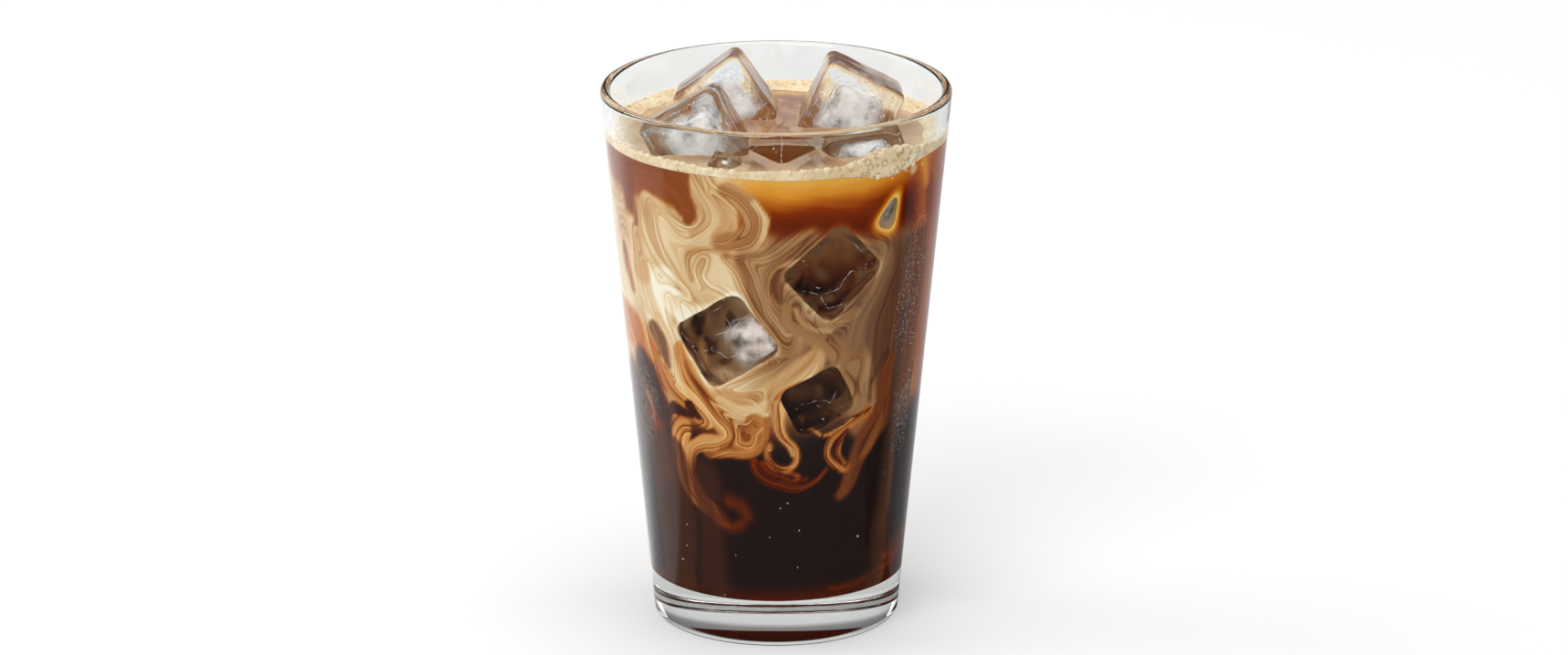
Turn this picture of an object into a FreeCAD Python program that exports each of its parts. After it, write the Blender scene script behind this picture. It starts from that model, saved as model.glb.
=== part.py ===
import FreeCAD, Part
import math
import os

# Iced latte in a tapered tumbler. Millimetres, +Z up. The origin is the centre
# of the foot, on the surface that the tumbler stands on. The front is -Y, and
# an angle round the glass is counted in degrees from the front towards +X.

# Tumbler
HEIGHT = 137.5
RIM_RADIUS = 44.0  # outside, at the top
FOOT_RADIUS = 30.5  # outside, where the side would meet the table
WALL = 2.5  # measured square to the axis
BASE_THICKNESS = 12.0  # from the table to the floor of the bore
RIM_ROUND = 1.2  # each of the two edges of the rim
HEEL_ROUND = 2.5
FLOOR_ROUND = 3.0
DISH_RADIUS = 23.0  # shallow hollow under the foot
DISH_DEPTH = 1.2

# Drink: coffee below, milk coffee above, foam round the top
LEVEL_BELOW_RIM = 11.3
BORDER_HEIGHT = 55.0  # mean height of the border between the two layers
# Each wave of the border: rise, length, direction in degrees, start in degrees
BORDER_WAVES = (
    (8.0, 52.0, 15.0, 205.0),
    (4.0, 29.0, 80.0, 40.0),
    (2.0, 19.0, 140.0, 0.0),
)
FOAM_WIDTH = 5.0  # mean, square to the wall
FOAM_WIDTH_SWING = 2.6  # wider by this at the back, narrower at the front
FOAM_LOBES = 9
FOAM_LOBE_DEPTH = 0.5
FOAM_SKIN = 0.3  # how far the inner edge of the foam stands over the drink
FOAM_DEPTH = 1.3  # how far the foam reaches below the drink's surface
FOAM_CLIMB = 1.0  # how far the foam climbs the wall above its skin
FOAM_CLIMB_SPREAD = 3.0
# The heap of large bubbles at the right front
HEAP_ANGLE = 44.0
HEAP_RISE = 2.6
HEAP_DROP = 2.2
HEAP_SPREAD = 10.0

# Ice. Sizes and places are for ICE_BORE, the bore's radius at the drink's
# surface, and the whole layout grows and shrinks with the real bore.
ICE_BORE = 40.4
ICE_ROUND = 2.4
CHIP_ROUND = 0.7
# Each block: size along its own X, Y and Z, then the place of its middle, its
# height over the drink's surface included, then its turns about Z, Y and X
ICE_BLOCKS = {
    "ice_right": ((21.3, 21.3, 21.3), (18.4, 11.0, 2.3), (-1.8, 26.2, -6.6), ICE_ROUND),
    "ice_front_left": ((21.0, 21.0, 21.0), (-19.1, -12.6, 1.2), (0.6, -29.5, -10.9), ICE_ROUND),
    "ice_back_left": ((20.0, 20.0, 20.0), (-12.4, 17.5, 2.2), (2.5, -35.6, -8.8), ICE_ROUND),
    "ice_centre": ((13.5, 13.5, 13.5), (1.4, -21.0, -7.6), (30.0, 35.3, 45.0), ICE_ROUND),
    "ice_front_right": ((18.5, 14.0, 14.0), (21.6, -17.6, -4.9), (20.0, -4.0, 42.0), ICE_ROUND),
    "ice_chip": ((6.0, 4.5, 4.5), (-12.2, -30.2, -1.1), (-24.0, 8.0, 35.0), CHIP_ROUND),
}

# How fine the wavy sheets are sampled, and the room that tools need past a face
SHEET_SAMPLES = 45
OVERRUN = 5.0

LEVEL = HEIGHT - LEVEL_BELOW_RIM


def outer_radius(height):
    return FOOT_RADIUS + (RIM_RADIUS - FOOT_RADIUS) * height / HEIGHT


def bore_radius(height):
    return outer_radius(height) - WALL


def round_corner(before, corner, after, radius):
    """Start, middle and end of the arc that rounds a corner of an outline."""
    back = (before - corner).normalize()
    ahead = (after - corner).normalize()
    half = back.getAngle(ahead) / 2
    reach = radius / math.tan(half)
    inward = (back + ahead).normalize()
    centre = corner + inward * (radius / math.sin(half))
    return corner + back * reach, centre - inward * radius, corner + ahead * reach


def turned(stops):
    """Solid turned about Z from (radius, height, rounding) stops of its half outline."""
    points = [FreeCAD.Vector(radius, 0, height) for radius, height, _ in stops]
    edges = []
    first = None
    last = None
    for index, (_, _, rounding) in enumerate(stops):
        corner = points[index]
        if rounding > 0:
            following = points[(index + 1) % len(points)]
            start, middle, end = round_corner(points[index - 1], corner, following, rounding)
        else:
            start = end = corner
        if last is None:
            first = start
        else:
            edges.append(Part.LineSegment(last, start).toShape())
        if rounding > 0:
            edges.append(Part.Arc(start, middle, end).toShape())
        last = end
    edges.append(Part.LineSegment(last, first).toShape())
    face = Part.Face(Part.Wire(edges))
    return face.revolve(FreeCAD.Vector(0, 0, 0), FreeCAD.Vector(0, 0, 1), 360)


def tumbler():
    body = turned([
        (0, 0, 0),
        (FOOT_RADIUS, 0, HEEL_ROUND),
        (RIM_RADIUS, HEIGHT, RIM_ROUND),
        (RIM_RADIUS - WALL, HEIGHT, RIM_ROUND),
        (bore_radius(BASE_THICKNESS), BASE_THICKNESS, FLOOR_ROUND),
        (0, BASE_THICKNESS, 0),
    ])
    ball_radius = (DISH_RADIUS ** 2 + DISH_DEPTH ** 2) / (2 * DISH_DEPTH)
    ball = Part.makeSphere(ball_radius, FreeCAD.Vector(0, 0, DISH_DEPTH - ball_radius))
    return body.cut(ball)


def bore_up_to(height):
    """The inside of the tumbler, from its floor up to a height."""
    return turned([
        (0, BASE_THICKNESS, 0),
        (bore_radius(BASE_THICKNESS), BASE_THICKNESS, FLOOR_ROUND),
        (bore_radius(height), height, 0),
        (0, height, 0),
    ])


def above(height_at):
    """Everything in the glass that lies above the wavy sheet height_at(x, y)."""
    half = RIM_RADIUS + OVERRUN
    steps = [half * (2 * index / (SHEET_SAMPLES - 1) - 1) for index in range(SHEET_SAMPLES)]
    grid = [[FreeCAD.Vector(x, y, height_at(x, y)) for y in steps] for x in steps]
    sheet = Part.BSplineSurface()
    sheet.interpolate(grid)
    return sheet.toShape().extrude(FreeCAD.Vector(0, 0, HEIGHT + OVERRUN))


def border_height(x, y):
    """Height of the border between the coffee and the milk coffee over it."""
    height = BORDER_HEIGHT
    for rise, length, direction, start in BORDER_WAVES:
        turn = math.radians(direction)
        along = x * math.cos(turn) + y * math.sin(turn)
        height += rise * math.sin(2 * math.pi * along / length + math.radians(start))
    return height


def heap_share(x, y):
    """1 at the middle of the heap of bubbles, falling to 0 away from it."""
    turn = math.radians(HEAP_ANGLE)
    reach = bore_radius(LEVEL)
    away = math.hypot(x - reach * math.sin(turn), y + reach * math.cos(turn))
    return math.exp(-(away / HEAP_SPREAD) ** 2)


def foam_top(x, y):
    to_wall = bore_radius(LEVEL) - math.hypot(x, y)
    climb = FOAM_CLIMB * math.exp(-(to_wall / FOAM_CLIMB_SPREAD) ** 2)
    return LEVEL + FOAM_SKIN + climb + HEAP_RISE * heap_share(x, y)


def foam_bottom(x, y):
    return LEVEL - FOAM_DEPTH - HEAP_DROP * heap_share(x, y)


def foam_width(angle):
    turn = math.radians(angle)
    lobes = FOAM_LOBE_DEPTH * math.sin(FOAM_LOBES * turn)
    return FOAM_WIDTH - FOAM_WIDTH_SWING * math.cos(turn) + lobes


def foam_ring():
    """Foam that floats round the wall, thin at the front and heaped at the right."""
    inner_points = []
    point_count = 8 * FOAM_LOBES
    for index in range(point_count):
        angle = 360 * index / point_count
        radius = bore_radius(LEVEL) - foam_width(angle)
        turn = math.radians(angle)
        inner_points.append(FreeCAD.Vector(radius * math.sin(turn), -radius * math.cos(turn), 0))
    edge = Part.BSplineCurve()
    edge.interpolate(Points=inner_points, PeriodicFlag=True)
    opening = Part.Face(Part.Wire(edge.toShape())).extrude(FreeCAD.Vector(0, 0, HEIGHT + OVERRUN))
    ring = bore_up_to(HEIGHT).cut(opening)
    return ring.common(above(foam_bottom)).cut(above(foam_top))


def ice_blocks():
    """Every block of ice that stands out of the drink, by its node's name."""
    scale = bore_radius(LEVEL) / ICE_BORE
    blocks = {}
    for name, (size, place, turns, rounding) in ICE_BLOCKS.items():
        length, width, height = [side * scale for side in size]
        block = Part.makeBox(length, width, height, FreeCAD.Vector(-length / 2, -width / 2, -height / 2))
        block = block.makeFillet(rounding * scale, block.Edges)
        middle = FreeCAD.Vector(*place) * scale + FreeCAD.Vector(0, 0, LEVEL)
        block.Placement = FreeCAD.Placement(middle, FreeCAD.Rotation(*turns))
        blocks[name] = block
    return blocks


def build():
    """Every node of the part, by name."""
    blocks = ice_blocks()
    ice = list(blocks.values())
    foam = foam_ring().cut(ice)
    over_border = above(border_height)
    drink = bore_up_to(LEVEL)
    nodes = {
        "glass": tumbler(),
        "coffee": drink.cut(over_border),
        "milk_coffee": drink.common(over_border).cut([foam] + ice),
        "foam": foam,
    }
    nodes.update(blocks)
    return nodes


os.makedirs("parts", exist_ok=True)
for node, shape in build().items():
    shape.exportStep(f"parts/{node}.step")
    print(node, len(shape.Solids), "solid", round(shape.Volume / 1000, 2), "ml", shape.isValid())
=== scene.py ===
import logging
import math
from dataclasses import dataclass, field
from enum import Enum

import bmesh
import bpy
import numpy as np
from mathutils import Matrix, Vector, noise


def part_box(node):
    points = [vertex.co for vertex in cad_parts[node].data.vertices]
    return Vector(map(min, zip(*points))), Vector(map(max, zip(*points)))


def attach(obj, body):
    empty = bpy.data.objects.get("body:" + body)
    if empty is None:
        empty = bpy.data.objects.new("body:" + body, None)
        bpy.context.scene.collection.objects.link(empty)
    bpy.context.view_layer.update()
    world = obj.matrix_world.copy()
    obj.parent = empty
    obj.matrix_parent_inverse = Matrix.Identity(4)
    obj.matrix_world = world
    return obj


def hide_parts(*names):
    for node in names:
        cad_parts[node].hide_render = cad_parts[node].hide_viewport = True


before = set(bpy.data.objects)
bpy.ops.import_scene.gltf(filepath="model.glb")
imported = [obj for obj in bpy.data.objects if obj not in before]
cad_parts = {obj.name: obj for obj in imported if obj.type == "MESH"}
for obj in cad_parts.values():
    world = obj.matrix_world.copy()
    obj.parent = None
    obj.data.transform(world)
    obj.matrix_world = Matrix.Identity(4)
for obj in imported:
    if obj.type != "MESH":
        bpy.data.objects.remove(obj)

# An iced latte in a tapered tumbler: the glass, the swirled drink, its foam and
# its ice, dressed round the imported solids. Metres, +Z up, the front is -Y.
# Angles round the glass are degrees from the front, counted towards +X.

MM = 0.001
NOISE_SEED = 1  # every smooth random push follows from it
LOG = logging.getLogger("iced_latte")


# ---------------------------------------------------------------- helpers


class Wiring:
    """Adds nodes to a node tree and links them."""

    def __init__(self, tree: bpy.types.NodeTree) -> None:
        """Keeps the tree that nodes are added to."""
        self.tree = tree

    def add(self, kind: str, inputs: dict | None = None, **settings) -> bpy.types.Node:
        """Adds one node.

        Args:
            kind: the node's type name.
            inputs: socket name or index to a plain value or to a socket to link from.
            settings: properties of the node itself.

        Returns:
            The new node.
        """
        node = self.tree.nodes.new(kind)
        for name, value in settings.items():
            setattr(node, name, value)
        for key, value in (inputs or {}).items():
            if isinstance(value, bpy.types.NodeSocket):
                self.tree.links.new(value, node.inputs[key])
            else:
                node.inputs[key].default_value = value
        return node

    def math(self, operation: str, first, second=0.0, clamp: bool = False) -> bpy.types.NodeSocket:
        """Adds a Math node.

        Args:
            operation: the node's operation.
            first: its first value or socket.
            second: its second value or socket.
            clamp: whether the result is kept between 0 and 1.

        Returns:
            The result's socket.
        """
        kind = "ShaderNodeMath"
        return self.add(kind, {0: first, 1: second}, operation=operation, use_clamp=clamp).outputs[0]

    def noise(self, place, scale: float, detail: float = 3.0, roughness: float = 0.5) -> bpy.types.NodeSocket:
        """Adds a Noise Texture on a place and returns its value from 0 to 1."""
        inputs = {"Vector": place, "Scale": scale, "Detail": detail, "Roughness": roughness}
        return self.add("ShaderNodeTexNoise", inputs).outputs[0]

    def ramp(self, value, stops: list[tuple[float, tuple]]) -> bpy.types.NodeSocket:
        """Adds a Color Ramp.

        Args:
            value: the socket that it reads.
            stops: places from 0 to 1 with their colours.

        Returns:
            The colour's socket.
        """
        node = self.add("ShaderNodeValToRGB", {0: value})
        for index, (place, colour) in enumerate(stops):
            stop = node.color_ramp.elements[index] if index < 2 else node.color_ramp.elements.new(place)
            stop.position = place
            stop.color = (*colour, 1.0)
        return node.outputs[0]

    def blend(self, share, first, second) -> bpy.types.NodeSocket:
        """Adds a colour Mix of two colours and returns the result's socket."""
        inputs = {0: share, 6: first, 7: second}
        return self.add("ShaderNodeMix", inputs, data_type="RGBA").outputs[2]


def node_points(name: str) -> np.ndarray:
    """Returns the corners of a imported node's mesh, one row each, in metres."""
    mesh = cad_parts[name].data
    flat = np.empty(3 * len(mesh.vertices))
    mesh.vertices.foreach_get("co", flat)
    return flat.reshape(-1, 3)


def mesh_points(mesh: bpy.types.Mesh) -> np.ndarray:
    """Returns a mesh's corners, one row each."""
    flat = np.empty(3 * len(mesh.vertices))
    mesh.vertices.foreach_get("co", flat)
    return flat.reshape(-1, 3)


def new_piece(name: str, points: np.ndarray, faces: list, weld: float = 0.0) -> bpy.types.Object:
    """Makes a smooth closed mesh object with faces that point outwards.

    Args:
        name: the object's name.
        points: its corners.
        faces: its faces as lists of corner numbers.
        weld: corners nearer than this are merged.

    Returns:
        The new object, linked to the scene.
    """
    mesh = bpy.data.meshes.new(name)
    mesh.from_pydata([tuple(point) for point in points], [], faces)
    shape = bmesh.new()
    shape.from_mesh(mesh)
    if weld:
        bmesh.ops.remove_doubles(shape, verts=shape.verts, dist=weld)
        bmesh.ops.dissolve_degenerate(shape, edges=shape.edges, dist=weld)
    bmesh.ops.recalc_face_normals(shape, faces=shape.faces)
    shape.to_mesh(mesh)
    shape.free()
    mesh.shade_smooth()
    piece = bpy.data.objects.new(name, mesh)
    bpy.context.scene.collection.objects.link(piece)
    return piece


def grid_faces(rows: int, columns: int, wrap: bool) -> list[tuple[int, int, int, int]]:
    """Returns the quads of a grid of corners numbered row by row."""
    last = columns if wrap else columns - 1
    return [
        (row * columns + column, row * columns + (column + 1) % columns,
         (row + 1) * columns + (column + 1) % columns, (row + 1) * columns + column)
        for row in range(rows - 1) for column in range(last)
    ]


def give_attribute(mesh: bpy.types.Mesh, name: str, values: np.ndarray) -> None:
    """Stores one number for each corner of a mesh."""
    layer = mesh.attributes.new(name, "FLOAT", "POINT")
    layer.data.foreach_set("value", np.ascontiguousarray(values, dtype=np.float32))


def carve(piece: bpy.types.Object, cutter: bpy.types.Object, operation: str) -> None:
    """Combines a piece with a cutter by a boolean and applies it to the piece's mesh."""
    modifier = piece.modifiers.new("carve", "BOOLEAN")
    modifier.operation = operation
    modifier.solver = "EXACT"
    modifier.object = cutter
    apply_modifiers(piece)


def apply_modifiers(piece: bpy.types.Object) -> None:
    """Turns a piece's modifiers into its plain mesh and removes them."""
    view = bpy.context.view_layer
    view.update()
    evaluated = piece.evaluated_get(bpy.context.evaluated_depsgraph_get())
    mesh = bpy.data.meshes.new_from_object(evaluated)
    piece.modifiers.clear()
    piece.data = mesh


def run_tree(piece: bpy.types.Object, tree: bpy.types.NodeTree, values: dict) -> None:
    """Runs a geometry tree on a piece and keeps its result as a plain mesh.

    Args:
        piece: the object whose mesh goes in.
        tree: the geometry tree.
        values: the tree's input names and what each is set to.
    """
    modifier = piece.modifiers.new(tree.name, "NODES")
    modifier.node_group = tree
    for item in tree.interface.items_tree:
        if item.item_type == "SOCKET" and item.in_out == "INPUT" and item.name in values:
            modifier[item.identifier] = values[item.name]
    apply_modifiers(piece)


def remove(piece: bpy.types.Object) -> None:
    """Deletes a helper object."""
    bpy.data.objects.remove(piece, do_unlink=True)


def drift(points: np.ndarray, size: float, seed: float) -> np.ndarray:
    """Returns a smooth random push for each point.

    Args:
        points: places in metres.
        size: how far apart the pushes change, in metres.
        seed: shifts the pattern.

    Returns:
        Three numbers for each point, about -1 to 1.
    """
    shift = Vector((seed, 2.7 * seed, -1.3 * seed))
    return np.array([noise.noise_vector(Vector(point) / size + shift) for point in points])


def smooth(value: np.ndarray) -> np.ndarray:
    """Returns a soft step from 0 at 0 to 1 at 1."""
    value = np.clip(value, 0, 1)
    return value * value * (3 - 2 * value)


def around(angle, radius, height) -> np.ndarray:
    """Returns points at angles in degrees, radii and heights round the axis."""
    turn = np.radians(angle)
    return np.stack(np.broadcast_arrays(radius * np.sin(turn), -radius * np.cos(turn), height), -1)


# ---------------------------------------------------------------- the form


@dataclass(frozen=True)
class TumblerForm:
    """The tumbler's sizes in metres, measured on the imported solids."""

    height: float
    foot_radius: float
    slope: float
    wall: float
    floor: float
    level: float
    rim_round: float = 1.2 * MM
    heel_round: float = 2.5 * MM
    floor_round: float = 3.0 * MM
    dish_radius: float = 23.0 * MM
    dish_depth: float = 1.2 * MM

    def outer(self, height):
        """Returns the outside's radius at a height."""
        return self.foot_radius + self.slope * height

    def bore(self, height):
        """Returns the inside's radius at a height."""
        return self.outer(height) - self.wall

    @classmethod
    def measured(cls) -> "TumblerForm":
        """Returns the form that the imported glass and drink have."""
        points = node_points("glass")
        radius = np.hypot(points[:, 0], points[:, 1])
        rise = points[:, 2]
        high = radius.argmax()
        low = np.where(rise < rise.max() * 0.1, radius, 0).argmax()
        slope = (radius[high] - radius[low]) / (rise[high] - rise[low])
        foot = radius[low] - slope * rise[low]
        upper = rise > rise.max() / 2
        wall = (foot + slope * rise - radius)[upper].max()
        return cls(
            height=rise.max(), foot_radius=foot, slope=slope, wall=wall,
            floor=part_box("coffee")[0].z, level=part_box("milk_coffee")[1].z,
        )


def rounded_outline(stops: list[tuple[float, float, float]], arc_steps: int, run_steps: int) -> np.ndarray:
    """Returns the points of a half outline with rounded corners.

    Args:
        stops: radius, height and rounding of each corner, the ends left sharp.
        arc_steps: pieces in each rounded corner.
        run_steps: pieces in each straight run, besides a short one at each end.

    Returns:
        One row of radius and height for each point.
    """
    corners = [np.array(stop[:2]) for stop in stops]
    bends = [[corners[0]]]
    for index in range(1, len(stops) - 1):
        corner = corners[index]
        back = (corners[index - 1] - corner) / np.linalg.norm(corners[index - 1] - corner)
        ahead = (corners[index + 1] - corner) / np.linalg.norm(corners[index + 1] - corner)
        half = math.acos(np.clip(back @ ahead, -1, 1)) / 2
        radius = stops[index][2]
        inward = (back + ahead) / np.linalg.norm(back + ahead)
        centre = corner + inward * radius / math.sin(half)
        start = corner + back * radius / math.tan(half) - centre
        end = corner + ahead * radius / math.tan(half) - centre
        sweep = math.pi - 2 * half
        shares = np.linspace(0, 1, arc_steps + 1)
        arc = [(np.sin((1 - s) * sweep) * start + np.sin(s * sweep) * end) / math.sin(sweep) for s in shares]
        bends.append([centre + point for point in arc])
    bends.append([corners[-1]])
    points = []
    for bend, following in zip(bends, bends[1:]):
        points += bend
        start, end = bend[-1], following[0]
        length = np.linalg.norm(end - start)
        guard = min(0.25 * MM, length / 4) / length
        inner = np.linspace(guard, 1 - guard, run_steps + 1)
        points += [start + (end - start) * share for share in inner]
    points += bends[-1]
    return np.array(points)


def lathe_tree() -> bpy.types.NodeTree:
    """Builds the tree that turns a half outline about Z into a closed shape.

    Returns:
        A geometry tree whose mesh input holds the outline's points in order.
    """
    tree = bpy.data.node_groups.new("turned_on_a_lathe", "GeometryNodeTree")
    sockets = tree.interface
    sockets.new_socket("Outline", in_out="INPUT", socket_type="NodeSocketGeometry")
    for name in ("Outline Points", "Steps Around"):
        sockets.new_socket(name, in_out="INPUT", socket_type="NodeSocketInt")
    sockets.new_socket("Weld", in_out="INPUT", socket_type="NodeSocketFloat")
    sockets.new_socket("Finish", in_out="INPUT", socket_type="NodeSocketMaterial")
    sockets.new_socket("Shape", in_out="OUTPUT", socket_type="NodeSocketGeometry")
    w = Wiring(tree)
    given = w.add("NodeGroupInput").outputs
    columns = w.math("ADD", given["Steps Around"], 1)
    grid = w.add("GeometryNodeMeshGrid", {"Vertices X": columns, "Vertices Y": given["Outline Points"]})
    place = w.add("ShaderNodeSeparateXYZ", {0: grid.outputs["UV Map"]}).outputs
    last = w.math("SUBTRACT", given["Outline Points"], 1)
    index = w.math("ROUND", w.math("MULTIPLY", place[1], last))
    read = w.add("GeometryNodeSampleIndex", {
        "Geometry": given["Outline"], "Value": w.add("GeometryNodeInputPosition").outputs[0], "Index": index,
    }, data_type="FLOAT_VECTOR", domain="POINT")
    stored = w.add("GeometryNodeStoreNamedAttribute", {
        "Geometry": grid.outputs["Mesh"], "Name": "outline_place", "Value": read.outputs[0],
    }, data_type="FLOAT_VECTOR", domain="POINT")
    point = w.add("ShaderNodeSeparateXYZ", {0: read.outputs[0]}).outputs
    turn = w.math("MULTIPLY", place[0], math.tau)
    x = w.math("MULTIPLY", point[0], w.math("SINE", turn))
    y = w.math("MULTIPLY", point[0], w.math("COSINE", turn))
    spot = w.add("ShaderNodeCombineXYZ", {0: x, 1: w.math("MULTIPLY", y, -1.0), 2: point[2]})
    placed = w.add("GeometryNodeSetPosition", {"Geometry": stored.outputs[0], "Position": spot.outputs[0]})
    merged = w.add("GeometryNodeMergeByDistance", {"Geometry": placed.outputs[0], "Distance": given["Weld"]})
    shaded = w.add("GeometryNodeSetShadeSmooth", {"Geometry": merged.outputs[0]})
    real = w.add("GeometryNodeRealizeInstances", {"Geometry": shaded.outputs[0]})
    dressed = w.add("GeometryNodeSetMaterial", {"Geometry": real.outputs[0], "Material": given["Finish"]})
    w.add("NodeGroupOutput", {0: dressed.outputs[0]})
    return tree


def scatter_tree() -> bpy.types.NodeTree:
    """Builds the tree that strews small round things over a surface.

    The surface's point attribute "crowd" says how thickly they lie, from 0 to 1.

    Returns:
        A geometry tree whose mesh input is the surface.
    """
    tree = bpy.data.node_groups.new("strewn_on_a_surface", "GeometryNodeTree")
    sockets = tree.interface
    sockets.new_socket("Surface", in_out="INPUT", socket_type="NodeSocketGeometry")
    for name in ("Spacing", "Density", "Smallest", "Largest", "Rarity", "Thickness", "Sink"):
        sockets.new_socket(name, in_out="INPUT", socket_type="NodeSocketFloat")
    for name in ("Seed", "Fineness"):
        sockets.new_socket(name, in_out="INPUT", socket_type="NodeSocketInt")
    sockets.new_socket("Finish", in_out="INPUT", socket_type="NodeSocketMaterial")
    sockets.new_socket("Shapes", in_out="OUTPUT", socket_type="NodeSocketGeometry")
    w = Wiring(tree)
    given = w.add("NodeGroupInput").outputs
    crowd = w.add("GeometryNodeInputNamedAttribute", {"Name": "crowd"}, data_type="FLOAT").outputs[0]
    strewn = w.add("GeometryNodeDistributePointsOnFaces", {
        "Mesh": given["Surface"], "Distance Min": given["Spacing"], "Density Max": given["Density"],
        "Density Factor": crowd, "Seed": given["Seed"],
    }, distribute_method="POISSON")
    luck = w.add("FunctionNodeRandomValue", {"Seed": given["Seed"]}, data_type="FLOAT").outputs[1]
    rare = w.math("POWER", luck, given["Rarity"])
    size = w.add("ShaderNodeMapRange", {0: rare, 3: given["Smallest"], 4: given["Largest"]}).outputs[0]
    depth = w.math("MULTIPLY", w.math("MULTIPLY", size, given["Sink"]), -1.0)
    push = w.add("ShaderNodeVectorMath", {0: strewn.outputs["Normal"], "Scale": depth}, operation="SCALE")
    sunk = w.add("GeometryNodeSetPosition", {"Geometry": strewn.outputs[0], "Offset": push.outputs[0]})
    ball = w.add("GeometryNodeMeshIcoSphere", {"Radius": 1.0, "Subdivisions": given["Fineness"]})
    flat = w.math("MULTIPLY", size, given["Thickness"])
    form = w.add("ShaderNodeCombineXYZ", {0: size, 1: size, 2: flat})
    balls = w.add("GeometryNodeInstanceOnPoints", {
        "Points": sunk.outputs[0], "Instance": ball.outputs[0],
        "Rotation": strewn.outputs["Rotation"], "Scale": form.outputs[0],
    })
    real = w.add("GeometryNodeRealizeInstances", {"Geometry": balls.outputs[0]})
    shaded = w.add("GeometryNodeSetShadeSmooth", {"Geometry": real.outputs[0]})
    dressed = w.add("GeometryNodeSetMaterial", {"Geometry": shaded.outputs[0], "Material": given["Finish"]})
    w.add("NodeGroupOutput", {0: dressed.outputs[0]})
    return tree


# ---------------------------------------------------------------- finishes


def tint(red: float, green: float, blue: float) -> tuple[float, float, float]:
    """Returns a finish's colour from the levels, 0 to 255, that a screen would show."""
    return tuple((level / 255 / 12.92) if level < 10.3 else ((level / 255 + 0.055) / 1.055) ** 2.4
                 for level in (red, green, blue))


def relief_group() -> bpy.types.NodeTree:
    """Builds the shared effect of gentle waves and fine grain over a surface.

    Returns:
        A shader group that puts out a height for a Bump node.
    """
    tree = bpy.data.node_groups.new("wavy_relief", "ShaderNodeTree")
    tree.interface.new_socket("Place", in_out="INPUT", socket_type="NodeSocketVector")
    for name in ("Wave Scale", "Grain Scale", "Grain Share"):
        tree.interface.new_socket(name, in_out="INPUT", socket_type="NodeSocketFloat")
    tree.interface.new_socket("Height", in_out="OUTPUT", socket_type="NodeSocketFloat")
    w = Wiring(tree)
    given = w.add("NodeGroupInput").outputs
    wave = w.noise(given["Place"], given["Wave Scale"], 2.0)
    grain = w.math("MULTIPLY", w.noise(given["Place"], given["Grain Scale"], 2.0), given["Grain Share"])
    w.add("NodeGroupOutput", {0: w.math("ADD", wave, grain)})
    return tree


def cells_group() -> bpy.types.NodeTree:
    """Builds the shared effect of packed bubbles of two sizes.

    Returns:
        A shader group that puts out a dome height and a mask of open pits.
    """
    tree = bpy.data.node_groups.new("packed_bubbles", "ShaderNodeTree")
    tree.interface.new_socket("Place", in_out="INPUT", socket_type="NodeSocketVector")
    for name in ("Fine Scale", "Coarse Scale", "Pit Share"):
        tree.interface.new_socket(name, in_out="INPUT", socket_type="NodeSocketFloat")
    tree.interface.new_socket("Domes", in_out="OUTPUT", socket_type="NodeSocketFloat")
    tree.interface.new_socket("Pits", in_out="OUTPUT", socket_type="NodeSocketFloat")
    tree.interface.new_socket("Rings", in_out="OUTPUT", socket_type="NodeSocketFloat")
    w = Wiring(tree)
    given = w.add("NodeGroupInput").outputs
    fine = w.add("ShaderNodeTexVoronoi", {"Vector": given["Place"], "Scale": given["Fine Scale"]})
    coarse = w.add("ShaderNodeTexVoronoi", {"Vector": given["Place"], "Scale": given["Coarse Scale"]})
    dome = w.math("SUBTRACT", 1.0, w.math("ADD", w.math("MULTIPLY", fine.outputs[0], 0.5), coarse.outputs[0]))
    luck = w.add("ShaderNodeSeparateColor", {0: coarse.outputs["Color"]}).outputs[0]
    chosen = w.math("LESS_THAN", luck, given["Pit Share"])
    near = w.add("ShaderNodeMapRange", {0: coarse.outputs[0], 1: 0.42, 2: 0.12}).outputs[0]
    rings = w.ramp(coarse.outputs[0], [(0.26, (0.0, 0.0, 0.0)), (0.38, (1.0, 1.0, 1.0)), (0.50, (0.0, 0.0, 0.0))])
    w.add("NodeGroupOutput", {0: dome, 1: w.math("MULTIPLY", chosen, near), 2: rings})
    return tree


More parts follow.
